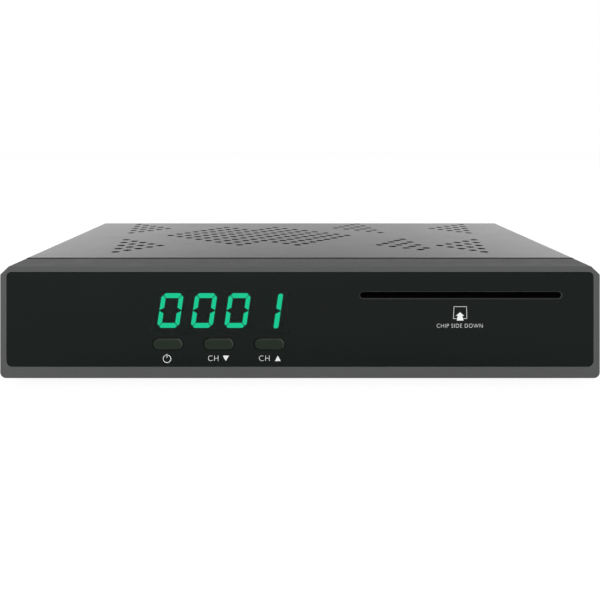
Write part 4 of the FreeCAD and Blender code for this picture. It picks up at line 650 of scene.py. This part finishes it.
# %% Board resist
TRACK = 0.0016
TRACK_PATCHES = (0.46, 0.5)
RESIST_BARE = (0.008, 0.07, 0.03)
RESIST_ON_COPPER = (0.03, 0.16, 0.07)
resist = new_finish("board_resist", (0.012, 0.09, 0.04), 0.32)
tracks = add(resist, "TexBrick", {"Vector": spot_of(resist), "Scale": 1.0 / TRACK, "Mortar Size": 0.16,
                                  "Mortar Smooth": 0.2, "Brick Width": 3.5, "Row Height": 1.0})
laid = ramp(resist, cloud(resist, 0.012, 1.0), 0.0, 1.0, *TRACK_PATCHES)
copper = times(resist, tracks.outputs["Fac"], laid)
paint(resist, copper, RESIST_BARE, RESIST_ON_COPPER)
set_to(resist, "Roughness", spread(resist, cloud(resist, 0.003), 0.26, 0.4))
relief(resist, copper, 0.00004)
print("board resist")

# %% Capacitor sleeve
SLEEVE_SHADES = ((0.012, 0.012, 0.026), (0.02, 0.02, 0.036))
CAN_ALUMINIUM = (0.62, 0.62, 0.62)
SLEEVE_END, BARE_START = 0.0003, 0.0002     # both below the top of the can
sleeve = new_finish("capacitor_sleeve", (0.015, 0.015, 0.03), 0.3)
can_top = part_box("capacitors")[1].z
bare_top = ramp(sleeve, along(sleeve, "Z"), 0.0, 1.0, can_top - SLEEVE_END, can_top - BARE_START)
sleeve_shade = mix(sleeve, cloud(sleeve, 0.002), *SLEEVE_SHADES)
paint(sleeve, bare_top, sleeve_shade, CAN_ALUMINIUM)
set_to(sleeve, "Metallic", bare_top)
uneven(sleeve, (0.001, 0.24, 0.36), (0.0008, 3.0, 0.00001))
print("capacitor tops at", round(can_top / MM, 1), "mm")

# %% Ribbon sleeve
WIRE_PITCH = 0.00127
WAVES_PER_SCALE = 0.314     # a wave texture of scale 1 repeats after this many metres
RIBBON_SHADES = ((0.3, 0.31, 0.32), (0.45, 0.46, 0.47))
ribbon = new_finish("ribbon_sleeve", (0.42, 0.43, 0.44), 0.45)
ribs = add(ribbon, "TexWave", {"Vector": spot_of(ribbon), "Scale": WAVES_PER_SCALE / WIRE_PITCH})
ribs.bands_direction = "X"
# painted shade: darker in the grooves between ribs, paler on the crests
paint(ribbon, ribs.outputs["Fac"], *RIBBON_SHADES)
set_to(ribbon, "Roughness", spread(ribbon, cloud(ribbon, 0.002), 0.4, 0.52))
relief(ribbon, ribs.outputs["Fac"], 0.0002)
print("ribbon sleeve")

# %% [markdown]
# ## Dress the CAD pieces
# Every CAD piece names its finish in the record, so one loop dresses them all. The base of the
# card reader is the exception. Seen through the slot it lies in shade, so it gets a darker resin
# of its own, which paints that shade into its colour.

# %% Give every CAD node its finish
finishes = {material.name: material for material in bpy.data.materials}
for row in frame["record"]["subparts"]:
    for slot in nodes[row["node"]].material_slots:
        slot.material = finishes[row["material_slot"]]
# painted shade: the reader base is painted darker for the shade deep in the slot
for slot in nodes["reader_base"].material_slots:
    slot.material = reader_resin

# %% [markdown]
# ## Print on the plate
# The marks are screen printed in white: a standby sign, channel marks, and a card with an
# arrow. They could be a texture, but a thin raised shape stays crisp at any size. Each mark is
# an outline in millimetres, given a front, a back and walls.

# %% Ink and outline helpers
INK = 0.02
ink = new_finish("print_white", (0.95, 0.96, 0.95), 0.55)
uneven(ink, (0.0006, 0.5, 0.62), (0.00015, 2.0, 0.000004),
       (0.0004, (0.93, 0.94, 0.93), (0.97, 0.98, 0.97)))


def add_piece(name, mesh, body, replaced=()):
    """Shows a finished mesh, says what it rides on, and which nodes it stands for."""
    piece = new_object(name, mesh)
    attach(piece, body)
    if replaced:
        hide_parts(*replaced)
    print(name, len(mesh.polygons), "faces")


def close_mesh(name, builder, finish, sharp_degrees=35.0):
    """Turns a bmesh into a mesh with outward faces, a finish and smooth shading."""
    bmesh.ops.recalc_face_normals(builder, faces=builder.faces)
    mesh = bpy.data.meshes.new(name)
    builder.to_mesh(mesh)
    builder.free()
    mesh.materials.append(finish)
    mesh.polygons.foreach_set("use_smooth", [True] * len(mesh.polygons))
    mesh.set_sharp_from_angle(angle=math.radians(sharp_degrees))
    return mesh


def bridge_rings(builder, rings):
    """Quads between rings that have the same number of points."""
    for first, second in zip(rings, rings[1:]):
        count = len(first)
        for i in range(count):
            j = (i + 1) % count
            builder.faces.new((first[i], first[j], second[j], second[i]))


def add_printed(name, outlines):
    """Adds flat shapes on the plate, from outlines of (x, z) points in millimetres."""
    builder = bmesh.new()
    for outline in outlines:
        front = [builder.verts.new((x * MM, FRONT - INK * MM, z * MM)) for x, z in outline]
        back = [builder.verts.new((x * MM, FRONT, z * MM)) for x, z in outline]
        builder.faces.new(front)
        builder.faces.new(back)
        bridge_rings(builder, [front, back])
    add_piece(name, close_mesh(name, builder, ink), "case")


# %% Standby sign
STANDBY = (-37.27, 8.08)
STANDBY_RADIUS = 1.07
STANDBY_GAP = 15.0
STANDBY_STEPS = 40
STEM_LOW = 0.3
STEM_HIGH = 1.36
STROKE = 0.175


def arc_band(centre, radius, stroke, start, end, steps):
    """The outline of a bent bar, from one angle to another."""
    outer, inner = [], []
    for step in range(steps + 1):
        angle = math.radians(start + (end - start) * step / steps)
        x, z = math.cos(angle), math.sin(angle)
        outer.append((centre[0] + (radius + stroke / 2) * x, centre[1] + (radius + stroke / 2) * z))
        inner.append((centre[0] + (radius - stroke / 2) * x, centre[1] + (radius - stroke / 2) * z))
    return outer + inner[::-1]


def bar(x0, z0, x1, z1, stroke):
    """The outline of a straight bar between two points."""
    length = math.hypot(x1 - x0, z1 - z0)
    side_x, side_z = (z0 - z1) / length * stroke / 2, (x1 - x0) / length * stroke / 2
    return [(x0 + side_x, z0 + side_z), (x0 - side_x, z0 - side_z),
            (x1 - side_x, z1 - side_z), (x1 + side_x, z1 + side_z)]


standby_ring = arc_band(STANDBY, STANDBY_RADIUS, STROKE, 90 + STANDBY_GAP, 450 - STANDBY_GAP, STANDBY_STEPS)
standby_stem = bar(STANDBY[0], STANDBY[1] + STEM_LOW, STANDBY[0], STANDBY[1] + STEM_HIGH, STROKE)
add_printed("standby_mark", [standby_ring, standby_stem])

# %% Channel arrows
ARROW_LOW = 7.45
ARROW_HIGH = 8.96
down_arrow = [(-21.65, ARROW_HIGH), (-20.78, ARROW_LOW), (-19.91, ARROW_HIGH)]
up_arrow = [(-7.03, ARROW_LOW), (-6.22, ARROW_HIGH), (-5.41, ARROW_LOW)]
add_printed("channel_arrows", [down_arrow, up_arrow])

# %% [markdown]
# Letters come from a text object. It is made a mesh, its points are moved to the front plane at
# the size and place that were asked for, and the text object is removed. So the piece itself
# sits at the origin like every other.

# %% Letters
LETTER_THINNING = 0.02
LETTER_SPACE = 1.12
LETTER_DEPTH = 0.02


def take_mesh(maker):
    """The finished mesh of an object that was only made for it, and is removed."""
    bpy.context.view_layer.update()
    graph = bpy.context.evaluated_depsgraph_get()
    mesh = bpy.data.meshes.new_from_object(maker.evaluated_get(graph))
    bpy.data.objects.remove(maker)
    return mesh


def share(value, values):
    """Where a value lies between the least and the greatest of them, from 0 to 1."""
    return (value - min(values)) / (max(values) - min(values))


def add_words(name, words, height, left, right, low):
    """Adds capitals of a given height and width on the plate, in millimetres."""
    text = bpy.data.curves.new(name, "FONT")
    text.body = words
    text.extrude = LETTER_DEPTH
    text.offset = -LETTER_THINNING
    text.space_character = LETTER_SPACE
    mesh = take_mesh(new_object(name + "_maker", text))
    xs, ys, zs = zip(*[tuple(point.co) for point in mesh.vertices])
    for point in mesh.vertices:
        x = left + share(point.co.x, xs) * (right - left)
        out = share(point.co.z, zs) * INK
        z = low + share(point.co.y, ys) * height
        point.co = (x * MM, FRONT - out * MM, z * MM)
    mesh.materials.clear()
    mesh.materials.append(ink)
    add_piece(name, mesh, "case")


# %% Place the words
CHANNEL_CAPITAL = 1.52
CHANNEL_WORDS_Z = 7.47
CARD_CAPITAL = 1.08
CARD_WORDS_Z = 16.8
add_words("channel_down_words", "CH", CHANNEL_CAPITAL, -25.75, -22.87, CHANNEL_WORDS_Z)
add_words("channel_up_words", "CH", CHANNEL_CAPITAL, -11.45, -8.55, CHANNEL_WORDS_Z)
add_words("card_words", "CHIP SIDE DOWN", CARD_CAPITAL, 38.35, 51.2, CARD_WORDS_Z)

# %% Card sign
CARD_LINE = 0.11
CARD_TOP = 22.7
CARD_LOW = 19.36
card_lines = ((43.17, CARD_TOP, 46.67, CARD_TOP), (43.17, CARD_TOP, 42.98, CARD_LOW),
              (46.67, CARD_TOP, 46.75, CARD_LOW), (42.93, CARD_LOW, 43.95, CARD_LOW),
              (45.8, CARD_LOW, 46.8, CARD_LOW))
card_arrow = [(44.84, 21.11), (43.64, 20.13), (44.2, 20.13), (43.93, 18.8),
              (45.87, 18.8), (45.5, 20.13), (46.06, 20.13)]
card_sign = [bar(*line, CARD_LINE) for line in card_lines] + [card_arrow]
add_printed("card_mark", card_sign)

# %% [markdown]
# ## Stamping a piece at many spots
# Screws, contacts, chip leads and feet all repeat. One Geometry Nodes tree serves them all: it
# takes a mesh of bare points, each with its own turn, puts a copy of one piece on every point,
# makes the copies real and gives them a finish. The result is kept as a plain mesh.


# %% Start and end a tree
def new_tree(name, inputs, output):
    """A Geometry Nodes tree with named inputs and one geometry output."""
    tree = bpy.data.node_groups.new(name, "GeometryNodeTree")
    tree.is_modifier = True
    for label, kind in inputs.items():
        tree.interface.new_socket(name=label, in_out="INPUT", socket_type="NodeSocket" + kind)
    tree.interface.new_socket(name=output, in_out="OUTPUT", socket_type="NodeSocketGeometry")
    return tree


def end_tree(tree, given, geometry, output):
    """Makes copies real, gives them the finish and hands them out."""
    real = new_node(tree, "GeometryNodeRealizeInstances", {"Geometry": geometry})
    coat = new_node(tree, "GeometryNodeSetMaterial", {"Geometry": real.outputs["Geometry"],
                                                      "Material": given.outputs["Finish"]})
    new_node(tree, "NodeGroupOutput", {output: coat.outputs["Geometry"]})
    print(tree.name, "tree with", len(tree.nodes), "nodes")


# %% Build the stamping tree
STAMP_INPUTS = {"Spots": "Geometry", "Piece": "Object", "Size": "Float", "Finish": "Material"}
stamp = new_tree("stamp_pieces", STAMP_INPUTS, "Pieces")
stamp_given = new_node(stamp, "NodeGroupInput")
stamp_piece = new_node(stamp, "GeometryNodeObjectInfo", {"Object": stamp_given.outputs["Piece"]})
stamp_turn = new_node(stamp, "GeometryNodeInputNamedAttribute", {"Name": "turn"})
stamp_turn.data_type = "FLOAT_VECTOR"
stamp_rotation = new_node(stamp, "FunctionNodeEulerToRotation", {"Euler": stamp_turn.outputs["Attribute"]})
stamp_copies = new_node(stamp, "GeometryNodeInstanceOnPoints", {
    "Points": stamp_given.outputs["Spots"], "Instance": stamp_piece.outputs["Geometry"],
    "Rotation": stamp_rotation.outputs["Rotation"], "Scale": stamp_given.outputs["Size"]})
end_tree(stamp, stamp_given, stamp_copies.outputs["Instances"], "Pieces")


# %% Run a tree and keep its result
def grow(name, tree, start_mesh, values):
    """Runs a tree on a mesh, keeps the plain result and removes the modifier with its holder."""
    holder = new_object(name + "_maker", start_mesh)
    modifier = holder.modifiers.new(tree.name, "NODES")
    modifier.node_group = tree
    for item in tree.interface.items_tree:
        if item.item_type == "SOCKET" and item.in_out == "INPUT" and item.name in values:
            modifier[item.identifier] = values[item.name]
    mesh = take_mesh(holder)
    mesh.name = name
    return mesh


def add_stamped(name, piece_mesh, spots, finish, replaced=()):
    """Adds copies of a piece at spots of (x, depth, z) in millimetres and a turn in degrees."""
    points = bpy.data.meshes.new(name + "_spots")
    points.from_pydata([(x * MM, FRONT + depth * MM, z * MM) for (x, depth, z), turn in spots], [], [])
    turns = points.attributes.new("turn", "FLOAT_VECTOR", "POINT")
    for i, (place, turn) in enumerate(spots):
        turns.data[i].vector = [math.radians(part) for part in turn]
    template = new_object(name + "_template", piece_mesh)
    mesh = grow(name, stamp, points, {"Piece": template, "Size": 1.0, "Finish": finish})
    bpy.data.objects.remove(template)
    add_piece(name, mesh, "case", replaced)


# %% [markdown]
# ## Screws
# Four screws hold the cover at its sides and two at its back. The head is a low dome with a
# cross recess. Its mesh is made of rings whose points follow the edges of the cross, so the
# recess stays crisp with few faces, which no boolean cut would promise.

# %% Model one screw
HEAD_RADIUS = 2.75
HEAD_HEIGHT = 1.68
DOME_FLATNESS = 3.2
DOME_ROUNDNESS = 2.6
SHANK_RADIUS = 1.45
SHANK_LENGTH = 6.0
TIP_RADIUS = 0.5
TIP_LENGTH = 0.8
CROSS_FLOOR = 0.3
CROSS_TOP = 0.44
CROSS_REACH = 1.55
CROSS_WIDEST = 0.7     # the most that half an arm may take of a ring's radius
RECESS_RINGS = ((0.66, 0.95), (1.0, 0.9), (1.35, 0.75))
PLAIN_RINGS = (CROSS_REACH, 1.9, 2.25, 2.5, 2.65, 2.73, HEAD_RADIUS)
SHANK_RINGS = ((SHANK_RADIUS, 0.0), (SHANK_RADIUS, TIP_LENGTH - SHANK_LENGTH), (TIP_RADIUS, -SHANK_LENGTH))


def dome(radius):
    """Height of the head over its underside at a radius."""
    fall = (radius / HEAD_RADIUS) ** DOME_FLATNESS
    return HEAD_HEIGHT * max(0.0, 1.0 - fall) ** (1 / DOME_ROUNDNESS)


def ring_angles(radius):
    """Angles round one ring that follow the edges of the cross."""
    inner = math.asin(min(CROSS_WIDEST, CROSS_FLOOR / radius))
    outer = math.asin(min(CROSS_WIDEST, CROSS_TOP / radius))
    rest = math.pi / 2 - 2 * outer
    quarter = [(-inner, True), (inner, True), (outer, False)]
    quarter += [(outer + rest * part, False) for part in (0.25, 0.5, 0.75, 1.0)]
    return [(angle + math.pi / 2 * turn, deep) for turn in range(4) for angle, deep in quarter]


def round_point(builder, radius, angle, height):
    return builder.verts.new((radius * math.cos(angle), radius * math.sin(angle), height))


def screw_ring(builder, radius, height, angles, depth=0.0):
    """One ring of points, sunk by a depth where the cross is."""
    return [round_point(builder, radius, angle, height - depth * deep) for angle, deep in angles]


def screw_mesh():
    builder = bmesh.new()
    rings = [screw_ring(builder, radius, dome(radius), ring_angles(radius), depth)
             for radius, depth in (*RECESS_RINGS, *[(radius, 0.0) for radius in PLAIN_RINGS])]
    rim_angles = ring_angles(HEAD_RADIUS)
    rings += [screw_ring(builder, radius, height, rim_angles) for radius, height in SHANK_RINGS]
    bridge_rings(builder, rings)
    builder.faces.new(rings[0])
    builder.faces.new(rings[-1])
    builder.transform(Matrix.Scale(MM, 4))
    return close_mesh("screw", builder, screw_steel)


# %% Put the cover screws in place
COVER_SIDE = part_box("top_cover")[1].x / MM
COVER_BACK = (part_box("top_cover")[1].y - FRONT) / MM
SIDE_SCREW_Z = 9.7
SIDE_SCREW_DEPTHS = (34.0, 84.0)
REAR_SCREW_X = 66.0
REAR_SCREW_Z = 31.0
cover_spots = [((side * COVER_SIDE, depth, SIDE_SCREW_Z), (0, 90 * side, 0))
               for side in (-1, 1) for depth in SIDE_SCREW_DEPTHS]
cover_spots += [((side * REAR_SCREW_X, COVER_BACK, REAR_SCREW_Z), (-90, 0, 0)) for side in (-1, 1)]
add_stamped("cover_screw_set", screw_mesh(), cover_spots, screw_steel, ("cover_screws",))

# %% [markdown]
# ## Feet
# Each foot is a turned rubber pad. Three ring grooves in its face let it grip, and a hollow in
# the middle lets the rim bear the load. An outline turned about an axis gives all of that, where
# a stack of cylinders would leave the seams between them to hide.

# %% Turn an outline
WELD = 0.0001


def turned(name, outline, steps, finish, lay=Matrix.Identity(4)):
    """A closed outline of (radius, height) in millimetres, turned about the Z axis."""
    builder = bmesh.new()
    angles = [2 * math.pi * step / steps for step in range(steps)]
    rings = [[round_point(builder, radius, angle, height) for angle in angles]
             for radius, height in outline]
    bridge_rings(builder, rings + rings[:1])
    bmesh.ops.remove_doubles(builder, verts=builder.verts, dist=WELD)
    builder.transform(lay @ Matrix.Scale(MM, 4))
    return close_mesh(name, builder, finish)


# %% Model and place the feet
FOOT_STEPS = 56
FOOT_X = 67.0
FOOT_DEPTHS = (24.0, 86.0)
GROOVE = 0.45
GROOVE_RINGS = (4.5, 3.3, 2.15)
foot_side = [(0, 3.2), (6.0, 3.2), (5.95, 2.95), (5.72, 2.8), (5.7, 2.5), (5.84, 2.35), (5.5, 0.55),
             (5.42, 0.25), (5.25, 0.07), (5.0, 0.0)]
groove_side = ((0.25, 0.0), (0.15, GROOVE), (-0.15, GROOVE), (-0.25, 0.0))
foot_face = [(ring + reach, height) for ring in GROOVE_RINGS for reach, height in groove_side]
foot_hollow = [(1.35, 0.0), (1.25, 1.1), (0.9, 0.95), (0, 0.75)]
foot_spots = [((x, depth, 0.0), (0, 0, 0)) for x in (-FOOT_X, FOOT_X) for depth in FOOT_DEPTHS]
foot_nodes = ("foot_front_left", "foot_front_right", "foot_rear_left", "foot_rear_right")
foot = turned("foot", foot_side + foot_face + foot_hollow, FOOT_STEPS, rubber)
add_stamped("feet", foot, foot_spots, rubber, foot_nodes)

# %% [markdown]
# ## Antenna socket
# The dish lead screws onto a threaded barrel. A thread is a rule: its radius depends only on
# how far along and how far round a point lies. So a Geometry Nodes tree bends a flat grid into
# a tube and lets a zigzag of that one number raise the crests.

# %% Build the thread tree
THREAD_STEPS_ROUND = 49
THREAD_STEPS_ALONG = 80
THREAD_WELD = 0.000001
THREAD_INPUTS = {"Start": "Geometry", "Radius": "Float", "Depth": "Float", "Pitch": "Float",
                 "Length": "Float", "Finish": "Material"}
thread = new_tree("thread", THREAD_INPUTS, "Thread")
thread_given = new_node(thread, "NodeGroupInput")
grid = new_node(thread, "GeometryNodeMeshGrid", {"Size X": 1.0, "Size Y": 1.0,
                                                 "Vertices X": THREAD_STEPS_ROUND,
                                                 "Vertices Y": THREAD_STEPS_ALONG})
grid_place = new_node(thread, "GeometryNodeInputPosition").outputs["Position"]
round_share = numbers(thread, "ADD", one_part(thread, grid_place, "X"), 0.5)
along_share = numbers(thread, "ADD", one_part(thread, grid_place, "Y"), 0.5)
angle_round = times(thread, round_share, 2 * math.pi)
length_along = times(thread, along_share, thread_given.outputs["Length"])
pitches = numbers(thread, "DIVIDE", length_along, thread_given.outputs["Pitch"])
zigzag = numbers(thread, "PINGPONG", numbers(thread, "SUBTRACT", pitches, round_share), 0.5)
groove = times(thread, times(thread, zigzag, 2.0), thread_given.outputs["Depth"])
radius_there = numbers(thread, "SUBTRACT", thread_given.outputs["Radius"], groove)
thread_spot = add(thread, "CombineXYZ", {
    "X": times(thread, radius_there, numbers(thread, "COSINE", angle_round)), "Y": length_along,
    "Z": times(thread, radius_there, numbers(thread, "SINE", angle_round))})
bend = new_node(thread, "GeometryNodeSetPosition", {"Geometry": grid.outputs["Mesh"],
                                                    "Position": thread_spot.outputs["Vector"]})
seam = new_node(thread, "GeometryNodeMergeByDistance", {"Geometry": bend.outputs["Geometry"],
                                                        "Distance": THREAD_WELD})
end_tree(thread, thread_given, seam.outputs["Geometry"], "Thread")

# %% Cut the thread
ANTENNA_X = -56.0
ANTENNA_Z = 18.1
THREAD_RADIUS = 4.75
THREAD_DEPTH = 0.42
THREAD_PITCH = 0.794
THREAD_START = 99.8
THREAD_END = 108.5
THREAD_SHARP = 60.0
thread_values = {"Radius": THREAD_RADIUS * MM, "Depth": THREAD_DEPTH * MM, "Pitch": THREAD_PITCH * MM,
                 "Length": (THREAD_END - THREAD_START) * MM, "Finish": plated_shell}
thread_mesh = grow("antenna_thread", thread, bpy.data.meshes.new("thread_start"), thread_values)
thread_mesh.transform(Matrix.Translation((ANTENNA_X * MM, FRONT + THREAD_START * MM, ANTENNA_Z * MM)))
thread_builder = bmesh.new()
thread_builder.from_mesh(thread_mesh)
thread_mesh = close_mesh("antenna_thread", thread_builder, plated_shell, THREAD_SHARP)
print("thread of", round((THREAD_END - THREAD_START) / THREAD_PITCH, 1), "turns")

# %% Turn the rest of the barrel
TUNER_BACK = 96.15
NUT_END = 99.8
BARREL_TIP = 109.0
BARREL_BORE = 3.6
BARREL_CORE = 4.3
BARREL_RIM = 4.72
BARREL_STEPS = 64
SEAT_RADIUS = 5.0
SEAT_BEVEL = 0.15
BORE_BEVEL = 0.25
BACKWARDS = Matrix.Rotation(math.radians(-90.0), 4, "X")


def facing_back(x, z):
    """Lays a turned outline along +Y, so that its heights are depths from the front."""
    return Matrix.Translation((x * MM, FRONT, z * MM)) @ BACKWARDS


barrel_outline = [(BARREL_BORE, TUNER_BACK), (SEAT_RADIUS, TUNER_BACK), (SEAT_RADIUS, NUT_END - SEAT_BEVEL),
                  (SEAT_RADIUS - SEAT_BEVEL, NUT_END), (BARREL_CORE, NUT_END), (BARREL_CORE, THREAD_END),
                  (BARREL_RIM, THREAD_END), (BARREL_CORE, BARREL_TIP),
                  (BARREL_BORE + BORE_BEVEL, BARREL_TIP), (BARREL_BORE, BARREL_TIP - BORE_BEVEL)]
barrel_mesh = turned("antenna_barrel", barrel_outline, BARREL_STEPS, plated_shell,
                     facing_back(ANTENNA_X, ANTENNA_Z))
add_piece("antenna_thread", thread_mesh, "case", ("antenna_connector",))
add_piece("antenna_barrel", barrel_mesh, "case", ("antenna_connector",))

# %% [markdown]
# The nut is a hexagon whose corners are turned off at both ends, as every bought nut's are.
# The cut follows a cone, so its edge curves on each flat. Walking round the nut and working
# out the radius at every angle gives that curve without a boolean.

# %% Chamfered nut
NUT_FLATS = 12.7
NUT_START = 97.6
NUT_BORE = 5.06
NUT_STEPS = 96
NUT_SLOPE = 0.5
NUT_FACE = 1.02     # radius of the turned face, as a share of half the width over flats
NUT_SHARP = 25.0
nut_builder = bmesh.new()
nut_rings = [[] for level in range(6)]
for step in range(NUT_STEPS):
    nut_angle = 2 * math.pi * step / NUT_STEPS
    from_flat = (nut_angle + math.pi / 6) % (math.pi / 3) - math.pi / 6
    corner_radius = NUT_FLATS / 2 / math.cos(from_flat)
    face_radius = min(corner_radius, NUT_FLATS / 2 * NUT_FACE)
    fall = (corner_radius - face_radius) * NUT_SLOPE
    levels = ((NUT_BORE, NUT_START), (face_radius, NUT_START), (corner_radius, NUT_START + fall),
              (corner_radius, NUT_END - fall), (face_radius, NUT_END), (NUT_BORE, NUT_END))
    for ring, (level_radius, level_depth) in zip(nut_rings, levels):
        spot = (level_radius * math.sin(nut_angle), -level_radius * math.cos(nut_angle), level_depth)
        ring.append(nut_builder.verts.new(spot))
bridge_rings(nut_builder, nut_rings + nut_rings[:1])
nut_builder.transform(facing_back(ANTENNA_X, ANTENNA_Z) @ Matrix.Scale(MM, 4))
add_piece("antenna_hex_nut", close_mesh("antenna_hex_nut", nut_builder, plated_shell, NUT_SHARP),
          "case", ("antenna_nut",))

# %% [markdown]
# ## Contacts
# The audio and video socket holds a pair of sprung leaves in each of its slots, and the flat
# sockets have fine gold strips on their tongues. Each contact is a small bent ribbon, stamped
# at its slots by the same tree as the screws.

# %% Bent ribbons
RIBBON_CORNERS = ((-1, 0), (1, 0), (1, 1), (-1, 1))
RIBBON_SHARP = 30.0


def ribbon_part(name, lines, width, thickness, finish, flat=(1, 0, 0), rise=(0, 0, 1)):
    """Ribbons from (distance, height) points in millimetres; flat and rise set how they lie."""
    builder = bmesh.new()
    across, up, ahead = Vector(flat), Vector(rise), Vector((0, 1, 0))
    for line in lines:
        rings = []
        for distance, height in line:
            ring = [ahead * distance + across * (side * width / 2) + up * (height + level * thickness)
                    for side, level in RIBBON_CORNERS]
            rings.append([builder.verts.new(point) for point in ring])
        bridge_rings(builder, rings)
        builder.faces.new(rings[0])
        builder.faces.new(rings[-1])
    builder.transform(Matrix.Scale(MM, 4))
    return close_mesh(name, builder, finish, RIBBON_SHARP)


# %% Leaves of the audio and video socket
AV_X = -15.0
AV_Z = 18.4
AV_FACE = 97.8
AV_PITCH = 3.81
AV_COUNT = 10
AV_ROW_RISE = 2.35
LEAF_WIDTH = 1.9
LEAF_THICKNESS = 0.13
leaf_line = [(-6.8, 0.34), (-4.0, 0.3), (-2.4, 0.1), (-1.9, 0.1), (-1.2, 0.32)]
facing_line = [(distance, -height - LEAF_THICKNESS) for distance, height in leaf_line]
leaf_pair = ribbon_part("leaf", [leaf_line, facing_line], LEAF_WIDTH, LEAF_THICKNESS, contact_gold,
                        (0, 0, 1), (1, 0, 0))
leaf_spots = []
for row in (-1, 1):
    for i in range(AV_COUNT):
        leaf_x = AV_X + (i - (AV_COUNT - 1) / 2) * AV_PITCH + row * AV_PITCH / 4
        leaf_spots.append(((leaf_x, AV_FACE, AV_Z + row * AV_ROW_RISE), (0, 0, 0)))
add_stamped("av_leaves", leaf_pair, leaf_spots, contact_gold)

# %% Strips of the flat sockets
VIDEO_X, VIDEO_Z = 35.0, 13.55
VIDEO_TONGUE = 0.75
SERVICE_X, SERVICE_Z = 51.0, 13.45
SERVICE_TONGUE = 0.95
SERVICE_PLACES = (-3.5, -1.0, 1.0, 3.5)
FINE_STRIP, WIDE_STRIP = 0.42, 1.1
STRIP_THICKNESS = 0.05
UPSIDE_DOWN = (0, 180, 0)
strip_line = [(-7.0, 0.0), (-1.6, 0.0), (-1.1, -0.03)]
fine_strip = ribbon_part("fine_strip", [strip_line], FINE_STRIP, STRIP_THICKNESS, contact_gold)
wide_strip = ribbon_part("wide_strip", [strip_line], WIDE_STRIP, STRIP_THICKNESS, contact_gold)
video_spots = [((VIDEO_X + i - 4.5, AV_FACE, VIDEO_Z + VIDEO_TONGUE), (0, 0, 0)) for i in range(10)]
video_spots += [((VIDEO_X + i - 4.0, AV_FACE, VIDEO_Z - VIDEO_TONGUE), UPSIDE_DOWN) for i in range(9)]
service_spots = [((SERVICE_X + place, AV_FACE, SERVICE_Z - SERVICE_TONGUE), UPSIDE_DOWN)
                 for place in SERVICE_PLACES]
add_stamped("video_strips", fine_strip, video_spots, contact_gold)
add_stamped("service_strips", wide_strip, service_spots, contact_gold)

# %% [markdown]
# ## Chip leads
# The processor and the memory chips stand on bent leads. They show only through the vents,
# but a bare black block there would look like a toy. One gull-wing lead is stamped along their
# sides, turned to point outwards.

# %% Leads round the chips
BOARD_TOP = 10.6
LEAD_PITCH = 0.8
LEAD_WIDTH = 0.3
LEAD_THICKNESS = 0.12
CHIP_CORNER = 1.0
MEMORY_PLACES = ((10.4, 34.0), (10.4, 50.0), (-36.0, 40.0))
MEMORY_HALF_LONG = 4.6
MEMORY_HALF_WIDE = 6.5
lead_line = [(0.0, 0.75), (0.35, 0.75), (0.6, 0.12), (1.15, 0.02)]
lead_mesh = ribbon_part("lead", [lead_line], LEAD_WIDTH, LEAD_THICKNESS, tin_plate)


def leads_along(middle, half_long, half_out, turn):
    """Spots for one row of leads beside a chip; a turn of 0 points them to the back."""
    count = int(2 * half_long / LEAD_PITCH)
    angle = math.radians(turn)
    spots = []
    for i in range(count):
        shift = (i - (count - 1) / 2) * LEAD_PITCH
        x = middle[0] + shift * math.cos(angle) - half_out * math.sin(angle)
        depth = middle[1] + shift * math.sin(angle) + half_out * math.cos(angle)
        spots.append(((x, depth, BOARD_TOP), (0, 0, turn)))
    return spots


chip_low, chip_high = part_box("processor")
chip_middle = (chip_low + chip_high) / 2 / MM
chip_half = ((chip_high - chip_low) / 2 / MM).x
chip_place = (chip_middle.x, chip_middle.y - FRONT / MM)
lead_spots = []
for turn in (0, 90, 180, 270):
    lead_spots += leads_along(chip_place, chip_half - CHIP_CORNER, chip_half, turn)
for memory_place in MEMORY_PLACES:
    for turn in (0, 180):
        lead_spots += leads_along(memory_place, MEMORY_HALF_LONG, MEMORY_HALF_WIDE, turn)
add_stamped("chip_leads", lead_mesh, lead_spots, tin_plate)

# %% [markdown]
# ## Compare the boxes
# The dressed receiver must be as large as the solids. The boxes before and after dressing are
# compared, and the last line prints the largest change of a corner.

# %% Compare the boxes and finish
dressed_low, dressed_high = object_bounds()
corner_pairs = zip([*case_low, *case_high], [*dressed_low, *dressed_high])
largest_change = max(abs(before - after) for before, after in corner_pairs)
print("largest change of a corner:", round(largest_change / MM, 3), "mm")
